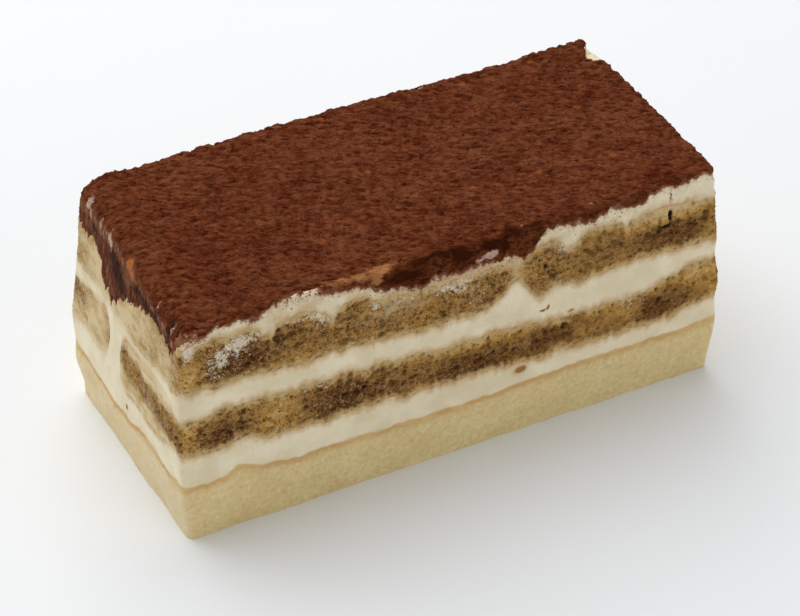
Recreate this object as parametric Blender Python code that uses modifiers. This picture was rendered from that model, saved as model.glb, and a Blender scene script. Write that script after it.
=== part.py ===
"""Tiramisu slice: an oblong block cut from a tray of layered cake.

From the bottom up it is a pale sponge with a browned crust, a layer of mascarpone cream, soaked
sponge fingers in two rows with cream between the rows, a second layer of cream, soaked sponge in two
lengths that meet at a joint, a last layer of cream and a skin of cocoa that hangs over the left end
and part of the front. Each layer is one closed solid. Neighbouring layers share one seam surface and
keep a small gap to it. Millimetres are used for the seam stations, metres for the finished mesh.
"""
import math

import bmesh
import bpy
import numpy as np

# Driving dimensions, in millimetres
MM = 0.001
WELD_DISTANCE = 0.00001
LENGTH = 116.4
WIDTH = 53.4
GAP = 0.3
CELL = 5.6
CORNER_STEP = 1.2
CORNER_PULL = 0.2

# The sides lean in above this height, by these amounts for each millimetre of rise
LEAN_FROM = 20.0
LEAN_END_BACK = 0.13
LEAN_END_FRONT = 0.05
LEAN_RIGHT = 0.07
LEAN_FRONT = 0.045
LEAN_BACK = 0.02
FOOT_HEIGHT = 10.0
FOOT_INSET = 0.9
SKIN_ROOM = 1.0
SKIN_ROOM_FROM = 34.0
SKIN_ROOM_FULL = 37.5
FRONT_ROOM_FROM = 39.0
FRONT_ROOM_FULL = 41.0

# The middle sponge lies in two rows along the length, with a channel of cream between them
CHANNEL_FRONT = 2.4
CHANNEL_BACK = 8.0
FINGER_ROUND = 4.0
FINGER_BLUNT = 0.3
ROUND_STEPS = (0.15, 0.45, 1.0)

# The upper sponge is two lengths that meet at a joint, where the cream below rises in a ridge
JOINT_X = 12.6
JOINT_ROUND = 4.5
RIDGE_RISE = 3.6

# Cocoa skin
COCOA_THICK = 0.7
COCOA_TOP_BED = 1.0
DRAPE_ROWS = 2
DRAPE_LEAST = 0.76
CHIP_Y = 21.5
CHIP_DEPTH = 1.0
CHIP_REACH = 3.5

# Heights of the seams along the front face as (x, z) and along the left end as (y, z)
CRUST_FRONT = ((-58, 13.7), (-48, 14.4), (-39, 12.8), (-5, 12.2), (24, 12.9), (58, 13.4))
CRUST_END = ((-27, 13.2), (-21, 12.5), (-11, 13.6), (3, 11.8), (10, 12.0), (27, 13.1))
LOWER_FRONT = ((-58, 20.2), (-46, 20.8), (-39, 19.2), (-17, 19.0), (8, 17.9), (33, 16.6), (58, 18.4))
LOWER_END = ((-27, 20.0), (-16, 18.2), (0, 18.4), (10, 19.6), (19, 20.2), (27, 18.6))
FINGER_FRONT = ((-58, 28.5), (-49, 29.1), (-28, 28.4), (-4, 26.9), (25, 25.2), (40, 24.9), (58, 27.6))
FINGER_END = ((-27, 28.3), (-12, 28.7), (0, 30.0), (12, 31.0), (27, 29.0))
MIDDLE_FRONT = ((-58, 34.5), (-38, 34.2), (-6, 32.2), (8, 33.2), (18, 32.0), (38, 32.5), (58, 31.8))
MIDDLE_END = ((-27, 34.0), (-19, 33.4), (-8, 31.8), (12, 33.0), (27, 32.8))
UPPER_FRONT = ((-58, 44.0), (-43, 44.6), (-38, 42.6), (-33, 44.4), (-27, 41.8), (-22, 43.8), (-15, 41.6),
               (14, 41.6), (20, 43.0), (24, 41.2), (30, 42.8), (38, 41.0), (43, 42.6), (58, 41.6))
UPPER_END = ((-27, 43.5), (0, 43.0), (27, 43.4))
TOP_FRONT = ((-58, 45.2), (-54, 46.6), (-49, 47.6), (-36, 48.4), (0, 47.7), (30, 47.6), (58, 48.2))
TOP_END = ((-27, 45.6), (-20, 46.3), (10, 46.7), (27, 45.8))
TOP_BACK_RISE = ((-58, 0.9), (-55, 2.4), (-48, 1.9), (0, 1.3), (58, 0.9))

# Lower edge of the cocoa down the front as (x, z) and down the left end as (y, z). Where the station
# is above the top of the block, the cocoa only has its own thickness there.
DRAPE_FRONT = ((-58, 44.2), (-50, 50.0), (-23, 50.0), (-17, 43.4), (0, 42.8), (14, 42.6), (21, 50.0),
               (58, 50.0))
DRAPE_END = ((-27, 43.0), (-14, 41.8), (-3, 39.8), (6, 38.2), (12, 39.2), (18, 41.4), (27, 41.2))

# Room left behind the cocoa along the front as (x, depth): where it hangs, and a cell to each side
ROOM_FRONT = ((-58, 1.0), (-52, 1.0), (-46, 0.0), (-31, 0.0), (-25, 1.0), (25, 1.0), (31, 0.0), (58, 0.0))

COLLECTION = "tiramisu_slice"


def stations(points, place):
    """Height at a place along a row of stations, eased from each station to the next."""
    places = np.array([point[0] for point in points], dtype=float)
    heights = np.array([point[1] for point in points], dtype=float)
    index = int(np.clip(np.searchsorted(places, place) - 1, 0, len(places) - 2))
    share = np.clip((place - places[index]) / (places[index + 1] - places[index]), 0.0, 1.0)
    eased = share * share * (3.0 - 2.0 * share)
    return float(heights[index] + eased * (heights[index + 1] - heights[index]))


def ramp(start, end, value):
    """Nought at start, one at end, eased between them."""
    share = min(max((value - start) / (end - start), 0.0), 1.0)
    return share * share * (3.0 - 2.0 * share)


def seam(front, end, swell):
    """Seam surface through the stations of the front face and of the left end."""
    mean = sum(height for _, height in front) / len(front)

    def height(x, y):
        depth = (y + WIDTH / 2) / WIDTH
        along = mean + (stations(front, x) - mean) * (1.0 - 0.45 * depth)
        near_end = ramp(-LENGTH / 2 + 34.0, -LENGTH / 2, x)
        across = (stations(end, y) - stations(end, -WIDTH / 2)) * near_end
        wave = swell * depth * math.sin(x / 8.5 + 1.3 * mean) * math.cos(y / 7.0 + mean)
        return along + across + wave

    return height


crust = seam(CRUST_FRONT, CRUST_END, 0.25)
lower_cream_top = seam(LOWER_FRONT, LOWER_END, 0.35)
finger_top = seam(FINGER_FRONT, FINGER_END, 0.35)
middle_cream_top = seam(MIDDLE_FRONT, MIDDLE_END, 0.35)
upper_sponge_top = seam(UPPER_FRONT, UPPER_END, 0.3)
cream_surface = seam(TOP_FRONT, TOP_END, 0.2)


def flat_base(x, y):
    """Underside of the block."""
    return 0.0


def row_share(y):
    """Share of the middle sponge's thickness at a depth: rounded at the rows' edges, none between."""
    inside = max(CHANNEL_FRONT - y, y - CHANNEL_BACK)
    if inside < -1.5 * GAP:
        return 0.0
    inward = min(max(inside / FINGER_ROUND, 0.0), 1.0)
    return FINGER_BLUNT + (1.0 - FINGER_BLUNT) * math.sqrt(1.0 - (1.0 - inward) ** 2)


def finger_under(x, y):
    """Underside of the middle sponge, rising to half its thickness in the channel."""
    low = lower_cream_top(x, y)
    return low + (finger_top(x, y) - low) * 0.5 * (1.0 - row_share(y))


def finger_over(x, y):
    """Top of the middle sponge, dropping to half its thickness in the channel."""
    high = finger_top(x, y)
    return high - (high - lower_cream_top(x, y)) * 0.5 * (1.0 - row_share(y))


def ridge(x):
    """Rise of the cream into the joint of the upper sponge."""
    return RIDGE_RISE * (1.0 - ramp(0.0, JOINT_ROUND, abs(x - JOINT_X)))


def upper_under(x, y):
    """Underside of the upper sponge."""
    return middle_cream_top(x, y) + ridge(x)


def cream_crown(x, y):
    """Top of the last cream, a little higher at the back than at the front."""
    depth = (y + WIDTH / 2) / WIDTH
    return cream_surface(x, y) + stations(TOP_BACK_RISE, x) * depth


def settle(x, y, z):
    """Take a point of the plain block to its place in the leaning, rounded block, in metres."""
    rise = max(z - LEAN_FROM, 0.0)
    depth = (y + WIDTH / 2) / WIDTH
    left = LEAN_END_FRONT + (LEAN_END_BACK - LEAN_END_FRONT) * depth
    side_x = left if x < 0 else LEAN_RIGHT
    side_y = LEAN_FRONT if y < 0 else LEAN_BACK
    foot = FOOT_INSET * (1.0 - ramp(0.0, FOOT_HEIGHT, z))
    inset_x = side_x * rise + foot
    inset_y = side_y * rise + foot
    near_x = ramp(LENGTH / 2 - 2 * CORNER_STEP, LENGTH / 2, abs(x))
    near_y = ramp(WIDTH / 2 - 2 * CORNER_STEP, WIDTH / 2, abs(y))
    pull = CORNER_PULL * near_x * near_y
    reach_x = abs(x) / (LENGTH / 2)
    reach_y = abs(y) / (WIDTH / 2)
    settled_x = math.copysign(abs(x) - inset_x * reach_x - pull, x)
    settled_y = math.copysign(abs(y) - inset_y * reach_y - pull, y)
    return settled_x * MM, settled_y * MM, z * MM


def make_room(x, y, z):
    """Draw the walls in under the cocoa that hangs over the left end and the front."""
    end_room = SKIN_ROOM * ramp(SKIN_ROOM_FROM, SKIN_ROOM_FULL, z)
    front_room = stations(ROOM_FRONT, x) * ramp(FRONT_ROOM_FROM, FRONT_ROOM_FULL, z)
    from_left = ramp(-LENGTH / 2 + 8.0, -LENGTH / 2, x)
    from_front = ramp(-WIDTH / 2 + 6.0, -WIDTH / 2, y)
    return x + end_room * from_left, y + front_room * from_front, z


def lines(start, end, cell, corners=(), extra=()):
    """Grid lines from start to end, about one cell apart, with close lines at cut corners."""
    first = start + CORNER_STEP if "start" in corners else start
    last = end - CORNER_STEP if "end" in corners else end
    count = max(2, round((last - first) / cell) + 1)
    places = [value for value in np.linspace(first, last, count)]
    places = [value for value in places if all(abs(value - other) > 0.35 * cell for other in extra)]
    places += [start, end, first, last, *extra]
    return np.unique(np.round(places, 4))


def material(name, colour, roughness):
    """Principled material of one food."""
    made = bpy.data.materials.new(name)
    made.use_nodes = True
    shader = made.node_tree.nodes["Principled BSDF"]
    shader.inputs["Base Color"].default_value = (*colour, 1.0)
    shader.inputs["Roughness"].default_value = roughness
    shader.inputs["Metallic"].default_value = 0.0
    made.diffuse_color = (*colour, 1.0)
    return made


def link(name, bm, collection, look):
    """Finish a bmesh as a named object of the slice."""
    bmesh.ops.recalc_face_normals(bm, faces=bm.faces)
    mesh = bpy.data.meshes.new(name)
    bm.to_mesh(mesh)
    bm.free()
    mesh.materials.append(look)
    made = bpy.data.objects.new(name, mesh)
    collection.objects.link(made)
    return made


def layer(name, xs, ys, under, over, rows, collection, look):
    """Closed slab between two seams: a grid drawn up, cut into rows and fitted to the seams.

    A slab that stands on the flat underside of the block has that side as one face.
    """
    bm = bmesh.new()
    bmesh.ops.create_grid(bm, x_segments=len(xs) - 1, y_segments=len(ys) - 1, size=0.5)
    drawn = bmesh.ops.extrude_face_region(bm, geom=bm.faces[:])
    raised = [item for item in drawn["geom"] if isinstance(item, bmesh.types.BMVert)]
    bmesh.ops.translate(bm, verts=raised, vec=(0.0, 0.0, 1.0))
    upright = [edge for edge in bm.edges if abs(edge.verts[0].co.z - edge.verts[1].co.z) > 0.5]
    if rows > 1:
        bmesh.ops.subdivide_edges(bm, edges=upright, cuts=rows - 1)
    for vert in bm.verts:
        x = xs[round((vert.co.x + 0.5) * (len(xs) - 1))]
        y = ys[round((vert.co.y + 0.5) * (len(ys) - 1))]
        low = under(x, y)
        z = low + vert.co.z * (over(x, y) - low)
        vert.co = settle(*make_room(x, y, z))
    if under is flat_base:
        standing = [face for face in bm.faces if all(vert.co.z == 0.0 for vert in face.verts)]
        bmesh.ops.dissolve_faces(bm, faces=standing)
    return link(name, bm, collection, look)


def above(surface):
    """A seam raised by the gap, for the underside of the piece that lies on it."""
    return lambda x, y: surface(x, y) + GAP


def cocoa_skin(name, xs, ys, collection, look):
    """Sheet over the top, folded down the left end and the front, then given its thickness."""
    bm = bmesh.new()
    columns = len(xs) - 1 + DRAPE_ROWS
    depths = len(ys) - 1 + DRAPE_ROWS
    bmesh.ops.create_grid(bm, x_segments=columns, y_segments=depths, size=0.5)
    cut_away = []
    for face in bm.faces:
        middle = face.calc_center_median()
        column = (middle.x + 0.5) * columns
        depth = (middle.y + 0.5) * depths
        if column < DRAPE_ROWS and depth < DRAPE_ROWS:
            cut_away.append(face)
    bmesh.ops.delete(bm, geom=cut_away, context="FACES")
    for vert in bm.verts:
        column = round((vert.co.x + 0.5) * columns) - DRAPE_ROWS
        depth = round((vert.co.y + 0.5) * depths) - DRAPE_ROWS
        vert.co = skin_point(xs, ys, column, depth)
    bmesh.ops.remove_doubles(bm, verts=bm.verts, dist=WELD_DISTANCE)
    made = link(name, bm, collection, look)
    thickness = made.modifiers.new("Thickness", "SOLIDIFY")
    thickness.thickness = COCOA_THICK * MM
    thickness.offset = -1.0
    thickness.use_quality_normals = True
    return made


def skin_point(xs, ys, column, depth):
    """Outer point of the cocoa at a grid column and depth, negative on the folded parts."""
    x = xs[max(column, 0)]
    y = ys[max(depth, 0)]
    if x == xs[-1]:
        x = x - CHIP_DEPTH * (1.0 - ramp(0.0, CHIP_REACH, abs(y - CHIP_Y)))
    top = cream_crown(x, y) + COCOA_TOP_BED
    if column < 0:
        hang = max(top - stations(DRAPE_END, y), DRAPE_LEAST)
        return settle(x, y, top - hang * (-column) / DRAPE_ROWS)
    if depth < 0:
        hang = max(top - stations(DRAPE_FRONT, x), DRAPE_LEAST)
        if x == xs[0]:
            hang = max(top - stations(DRAPE_END, y), DRAPE_LEAST)
        return settle(x, y, top - hang * (-depth) / DRAPE_ROWS)
    return settle(x, y, top)


def main():
    """Clear the scene and build the slice."""
    for old in list(bpy.data.objects):
        bpy.data.objects.remove(old, do_unlink=True)
    cake = bpy.data.collections.new(COLLECTION)
    bpy.context.scene.collection.children.link(cake)

    sponge_pale = material("base_sponge", (0.62, 0.49, 0.22), 0.9)
    sponge_soaked = material("soaked_sponge", (0.25, 0.16, 0.07), 0.8)
    cream = material("mascarpone_cream", (0.76, 0.70, 0.56), 0.5)
    cocoa = material("cocoa_powder", (0.15, 0.045, 0.018), 0.95)

    half_x = LENGTH / 2
    half_y = WIDTH / 2
    both = ("start", "end")
    arc = [FINGER_ROUND * share for share in ROUND_STEPS]
    walls = [CHANNEL_FRONT + step for step in (0.0, GAP, 2 * GAP)]
    walls += [CHANNEL_BACK - step for step in (0.0, GAP, 2 * GAP)]
    channel = (*walls, *[CHANNEL_FRONT - step for step in arc], *[CHANNEL_BACK + step for step in arc])
    slope = [JOINT_ROUND * share for share in (0.0, 0.5, 1.0)]
    joint = (*[JOINT_X - step for step in slope], *[JOINT_X + step for step in slope])
    xs = lines(-half_x, half_x, CELL, both)
    xs_joint = lines(-half_x, half_x, CELL, both, joint)
    ys = lines(-half_y, half_y, CELL, both)
    ys_channel = lines(-half_y, half_y, CELL, both, channel)
    ys_front = np.array([y for y in ys_channel if y <= CHANNEL_FRONT])
    ys_rear = np.array([y for y in ys_channel if y >= CHANNEL_BACK])
    xs_left = np.append([x for x in xs_joint if x < JOINT_X], JOINT_X - GAP / 2)
    xs_right = np.append(JOINT_X + GAP / 2, [x for x in xs_joint if x > JOINT_X])

    layer("base_sponge", xs, ys, flat_base, crust, 2, cake, sponge_pale)
    layer("cream_lower", xs, ys_channel, above(crust), finger_under, 1, cake, cream)
    layer("fingers_front", xs, ys_front, above(finger_under), finger_over, 1, cake, sponge_soaked)
    layer("fingers_rear", xs, ys_rear, above(finger_under), finger_over, 1, cake, sponge_soaked)
    layer("cream_middle", xs_joint, ys_channel, above(finger_over), upper_under, 1, cake, cream)
    layer("upper_sponge_left", xs_left, ys, above(upper_under), upper_sponge_top, 2, cake, sponge_soaked)
    layer("upper_sponge_right", xs_right, ys, above(upper_under), upper_sponge_top, 2, cake, sponge_soaked)
    layer("cream_top", xs, ys, above(upper_sponge_top), cream_crown, 1, cake, cream)
    cocoa_skin("cocoa_top", xs, ys, cake, cocoa)


main()
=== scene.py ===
"""Tiramisu slice: the finish of an oblong block cut from a large layered cake.

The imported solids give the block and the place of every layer. Each layer is drawn again here with frayed
seams, open crumb or spread cream on its cut sides, and the colours of its food. Sizes and places are in
millimetres until a mesh is finished in metres. x runs along the slice and y from its front to its back.
"""
import math

import bpy
import numpy as np
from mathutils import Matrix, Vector
from mathutils.geometry import delaunay_2d_cdt


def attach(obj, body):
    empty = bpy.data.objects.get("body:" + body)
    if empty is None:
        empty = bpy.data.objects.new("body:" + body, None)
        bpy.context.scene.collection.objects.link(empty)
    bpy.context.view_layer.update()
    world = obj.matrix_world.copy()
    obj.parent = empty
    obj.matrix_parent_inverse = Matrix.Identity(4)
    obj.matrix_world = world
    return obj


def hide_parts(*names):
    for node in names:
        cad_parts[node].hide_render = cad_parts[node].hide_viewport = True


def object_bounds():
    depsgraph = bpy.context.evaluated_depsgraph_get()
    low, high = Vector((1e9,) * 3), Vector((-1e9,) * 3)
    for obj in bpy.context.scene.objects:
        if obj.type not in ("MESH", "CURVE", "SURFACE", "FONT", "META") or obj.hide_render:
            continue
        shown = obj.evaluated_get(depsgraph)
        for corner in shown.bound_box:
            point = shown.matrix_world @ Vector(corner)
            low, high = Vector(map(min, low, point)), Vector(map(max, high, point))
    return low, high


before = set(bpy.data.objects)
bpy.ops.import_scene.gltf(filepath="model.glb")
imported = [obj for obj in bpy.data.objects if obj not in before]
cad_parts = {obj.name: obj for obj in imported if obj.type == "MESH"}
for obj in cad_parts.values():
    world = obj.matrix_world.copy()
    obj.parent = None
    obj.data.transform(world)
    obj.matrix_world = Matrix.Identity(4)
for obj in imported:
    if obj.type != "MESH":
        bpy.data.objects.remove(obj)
cad_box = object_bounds()

# Base sponge: a sheet of pale sponge cake with a thin browned crust on top, baked flat and laid down
# first. It carries the block, so the block is set out here: cut with a long knife, its sides leaning in
# above the lower cream, its foot drawn in and its upright corners slightly round.
MM = 0.001
low_corner, high_corner = (np.array(corner) / MM for corner in cad_box)
LENGTH, WIDTH = (high_corner - low_corner)[:2]
HALF_LENGTH = LENGTH / 2
HALF_WIDTH = WIDTH / 2
# The ways that the sides face, as (x, y)
FRONT = (0.0, -1.0)
RIGHT = (1.0, 0.0)
BACK = (0.0, 1.0)
LEFT = (-1.0, 0.0)
CORNER_RADIUS = 1.3
# Above one height each side leans in, by its share of the height over it
LEAN_FROM = 20.0
LEAN_END_BACK = 0.13
LEAN_END_FRONT = 0.05
LEAN_RIGHT = 0.07
LEAN_FRONT = 0.045
LEAN_BACK = 0.02
# The foot is drawn in below one height
FOOT_HEIGHT = 10.0
FOOT_INSET = 0.9
# Slow wander of the knife over a cut side, and the least that a side lies inside the block
WANDER = 0.12
WANDER_PITCH = 9.0
SHALLOWEST = 0.15
# Seams nearer to each other than this are one
THINNEST = 0.01
# How far in the left end shapes the seams, how they bow sideways inside the block and calm down towards
# its back, and their fray as (strength, pitch)
END_REACH = 34.0
SKEW = 14.0
CALM_BACK = 0.45
SEAM_SCALES = ((0.3, 5.5), (0.17, 2.1), (0.05, 0.95))
# Steps between points on hidden caps and on the cut sides
HIDDEN_STEP = 4.0
BASE_STEP = 0.27
BASE_INSET = 0.4
BASE_CRUMB = {"Pore depth": 0.1, "Fine depth": 0.06, "Grain": 0.34, "Grit": 0.16}
BASE_OPENNESS = 0.5

# Height of the crust along the front as (x, z) and along the left end as (y, z)
CRUST_FRONT = (
    (-58, 13.6), (-50.2, 13.5), (-48.6, 14.0), (-47.2, 15.3), (-45.6, 15.0), (-42.5, 13.4),
    (-39.3, 12.9), (-28.9, 12.6), (-6.6, 12.1), (6.8, 12.1), (14.5, 12.5), (23.5, 12.9), (41.1, 12.7),
    (54.2, 13.0), (58, 13.4),
)
CRUST_END = (
    (-27, 13.4), (-16.7, 12.7), (-11.8, 13.6), (-5.3, 13.0), (2.3, 11.9), (6.2, 11.3), (10.6, 12.1),
    (19.1, 12.5), (27, 13.1),
)


def stations(points, place, softness=0.5):
    """Heights at places along a row of stations, with the bends at the stations softened."""
    along, height = np.array(points, dtype=float).T
    shifts = softness * np.linspace(-1.0, 1.0, 5)
    return sum(np.interp(place + shift, along, height) for shift in shifts) / len(shifts)


def ramp(start, end, value):
    """Nought at start, one at end, eased between them."""
    share = np.clip((value - start) / (end - start), 0.0, 1.0)
    return share * share * (3.0 - 2.0 * share)


def ripple(x, y, seed, pitch):
    """Uneven swell about nought, made of a few waves of about one pitch in scattered directions."""
    draw = np.random.default_rng(seed)
    total = 0.0
    for _ in range(7):
        turn, shift = draw.uniform(0.0, math.tau, 2)
        spacing = pitch * draw.uniform(0.65, 1.5)
        total = total + np.sin(math.tau * (x * math.cos(turn) + y * math.sin(turn)) / spacing + shift)
    return total / 2.6


def frayed(x, y, seed, scales):
    """Sum of ever finer ripples, each scale a strength and a pitch."""
    total = 0.0
    for number, (strength, pitch) in enumerate(scales):
        total = total + strength * ripple(x, y, seed + number, pitch)
    return total


def seam(front, end, swell, fray, seed):
    """Seam surface through the stations of the front and of the left end, frayed by the knife."""
    mean = sum(height for _, height in front) / len(front)

    def height(x, y):
        depth = (y + HALF_WIDTH) / WIDTH
        shift = SKEW * depth * (1.0 - depth)
        along = mean + (stations(front, x + shift) - mean) * (1.0 - CALM_BACK * depth)
        near_end = ramp(-HALF_LENGTH + END_REACH, -HALF_LENGTH, x)
        across = (stations(end, y) - stations(end, -HALF_WIDTH)) * near_end
        wave = swell * depth * np.sin(x / 8.5 + 1.3 * mean) * np.cos(y / 7.0 + mean)
        return along + across + wave + fray * frayed(x, y, seed, SEAM_SCALES)

    return height


def settle(points):
    """Take points of the plain block to their places in the leaning block, in metres."""
    x, y, z = points.T
    rise = np.maximum(z - LEAN_FROM, 0.0)
    depth = (y + HALF_WIDTH) / WIDTH
    left = LEAN_END_FRONT + (LEAN_END_BACK - LEAN_END_FRONT) * depth
    foot = FOOT_INSET * (1.0 - ramp(0.0, FOOT_HEIGHT, z))
    inset_x = np.where(x < 0, left, LEAN_RIGHT) * rise + foot
    inset_y = np.where(y < 0, LEAN_FRONT, LEAN_BACK) * rise + foot
    settled = np.stack([x - inset_x * x / HALF_LENGTH, y - inset_y * y / HALF_WIDTH, z], axis=-1)
    return settled * MM


def outline(left, right, front, back, step, hidden=None):
    """Points round a rectangle, anticlockwise from its left front corner: places, directions, spread.

    The sides are the front, right, back and left one, and hidden is the number of one that another piece
    covers: it has coarse steps and no direction. Where two seen sides meet, the corner is round. spread
    is the way that each point moves when the outline grows by one on every seen side.
    """
    corners = np.array([(left, front), (right, front), (right, back), (left, back)], dtype=float)
    places = []
    directions = []
    for side in range(4):
        stop = corners[(side + 1) % 4]
        span = np.linalg.norm(stop - corners[side])
        ahead = (stop - corners[side]) / span
        outward = np.array([ahead[1], -ahead[0]])
        count = round(span / (HIDDEN_STEP / 2 if side == hidden else step))
        for number in range(count):
            gone = span * number / count
            place = corners[side] + ahead * gone
            direction = outward * (side != hidden)
            if number == 0 and side == hidden:
                direction = -ahead
            for corner, distance, sense in ((side, gone, -1.0), ((side + 1) % 4, span - gone, 1.0)):
                covered = hidden in (corner, (corner - 1) % 4)
                if distance < CORNER_RADIUS and not covered:
                    angle = (1.0 - distance / CORNER_RADIUS) * math.pi / 4
                    direction = sense * ahead * math.sin(angle) + outward * math.cos(angle)
                    centre = corners[corner] - (sense * ahead + outward) * CORNER_RADIUS
                    place = centre + direction * CORNER_RADIUS
            places.append(place)
            directions.append(direction)
    places = np.array(places)
    spread = 2.0 * (places - corners.mean(axis=0)) / np.array([right - left, back - front])
    if hidden is not None:
        axis = (hidden + 1) % 2
        beyond = spread[:, axis] * (-1, 1, 1, -1)[hidden] > 0
        spread[beyond, axis] = 0.0
    return places, np.array(directions), spread


def cap(edge, inside):
    """Triangles between an edge loop and the points inside it, anticlockwise from above."""
    spots = np.concatenate([edge, inside])
    rim = [(spot, (spot + 1) % len(edge)) for spot in range(len(edge))]
    drawn = delaunay_2d_cdt([Vector(spot) for spot in spots], rim, [], 1, 1e-7)
    source = [came_from[0] for came_from in drawn[3]]
    triangles = np.array([[source[corner] for corner in face] for face in drawn[2]])
    first, second, third = (spots[triangles[:, corner]] for corner in range(3))
    area = np.cross(second - first, third - first)
    triangles[area < 0] = triangles[area < 0][:, ::-1]
    return triangles


def inner_points(left, right, front, back, spacing):
    """Points of a plain grid inside a rectangle."""
    xs = np.linspace(left, right, max(2, round((right - left) / spacing) + 1))
    ys = np.linspace(front, back, max(2, round((back - front) / spacing) + 1))
    return np.stack(np.meshgrid(xs, ys), axis=-1).reshape(-1, 2)


def walls(index):
    """Four-sided faces between rows of points that run round a piece, from the numbers of the points."""
    ahead = np.roll(index, -1, axis=1)
    return np.stack([index[:-1], ahead[:-1], ahead[1:], index[1:]], axis=-1).reshape(-1, 4).tolist()


def carry(mesh, label, values):
    """Let the points of a mesh carry one more value, or a vector, by name."""
    vector = values.ndim == 2
    attribute = mesh.attributes.new(label, "FLOAT_VECTOR" if vector else "FLOAT", "POINT")
    attribute.data.foreach_set("vector" if vector else "value", values.astype(np.float32).ravel())


def placed(name, data):
    """New object in the scene."""
    made = bpy.data.objects.new(name, data)
    bpy.context.scene.collection.objects.link(made)
    return made


def closed(name, rows, floor, lid, marks):
    """Closed piece through rows of points that run round it from its underside up.

    floor and lid give the heights of the two hidden caps. marks are values on the rows by name.
    """
    ring = rows.shape[1]
    index = np.arange(rows.shape[0] * ring).reshape(rows.shape[0], ring)
    faces = walls(index)
    smooth = len(faces)
    points = [rows.reshape(-1, 3)]
    count = rows.shape[0] * ring
    for row, height, under in ((0, floor, True), (rows.shape[0] - 1, lid, False)):
        edge = rows[row, :, :2]
        low = edge.min(axis=0) + HIDDEN_STEP / 2
        high = edge.max(axis=0) - HIDDEN_STEP / 2
        inside = inner_points(low[0], high[0], low[1], high[1], HIDDEN_STEP)
        triangles = cap(edge, inside)
        numbers = np.concatenate([index[row], count + np.arange(len(inside))])
        triangles = numbers[triangles]
        faces += (triangles[:, ::-1] if under else triangles).tolist()
        points.append(np.column_stack([inside, height(inside[:, 0], inside[:, 1])]))
        count += len(inside)
    mesh = bpy.data.meshes.new(name)
    mesh.from_pydata(settle(np.concatenate(points)), [], faces)
    mesh.polygons.foreach_set("use_smooth", np.arange(len(faces)) < smooth)
    ends = np.zeros(len(mesh.edges) * 2, dtype=np.int32)
    mesh.edges.foreach_get("vertices", ends)
    ring_of = np.where(ends < len(index.ravel()), ends // ring, -1).reshape(-1, 2)
    on_rim = (ring_of[:, 0] == ring_of[:, 1]) & np.isin(ring_of[:, 0], (0, rows.shape[0] - 1))
    mesh.attributes.new("sharp_edge", "BOOLEAN", "EDGE").data.foreach_set("value", on_rim)
    for label, values in marks.items():
        filled = np.zeros((count, *values.shape[2:]))
        filled[: rows.shape[0] * ring] = values.reshape(-1, *values.shape[2:])
        carry(mesh, label, filled)
    mesh.update()
    return placed(name, mesh)


def facing(directions, side):
    """How squarely the points of an outline face a side: one in full, nought when turned away."""
    return np.maximum(directions @ np.array(side), 0.0) ** 2


def no_room(x, y, z, directions):
    """Nothing hangs over this side, so it needs no room."""
    return 0.0


def wander(x, y, z):
    """Slow wander of the knife over a cut side."""
    return WANDER * ripple(x + y, z, 5, WANDER_PITCH)


def slab(ring, under, over, step, inset, bulge, lap, room=no_room):
    """Rows of points round one layer, from its lower seam to its upper one, with what they know.

    inset is how far the cut side lies inside the block's plane, bulge how far it swells out again, and
    lap how far the layer is pressed into the ones under and over it.
    """
    places, directions, spread = ring
    x, y = places.T
    low = under(x, y)
    high = over(x, y)
    count = max(4, round(float(np.mean(high - low)) / step) + 1)
    rows = []
    for share in np.linspace(0.0, 1.0, count):
        z = low - lap + share * (high - low + 2.0 * lap)
        depth = inset - bulge * math.sin(math.pi * share) + wander(x, y, z) + room(x, y, z, directions)
        rows.append(np.column_stack([places - spread * np.maximum(depth, SHALLOWEST)[:, None], z]))
    rows = np.array(rows)
    outward = np.broadcast_to(np.column_stack([directions, np.zeros(len(x))]), rows.shape)
    joined = np.broadcast_to((high - low < THINNEST) * 1.0, rows.shape[:2])
    rise = rows[..., 2] - low
    drop = high - rows[..., 2]
    return rows, {"outward": outward, "rise": rise, "drop": drop, "joined": joined}


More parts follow.
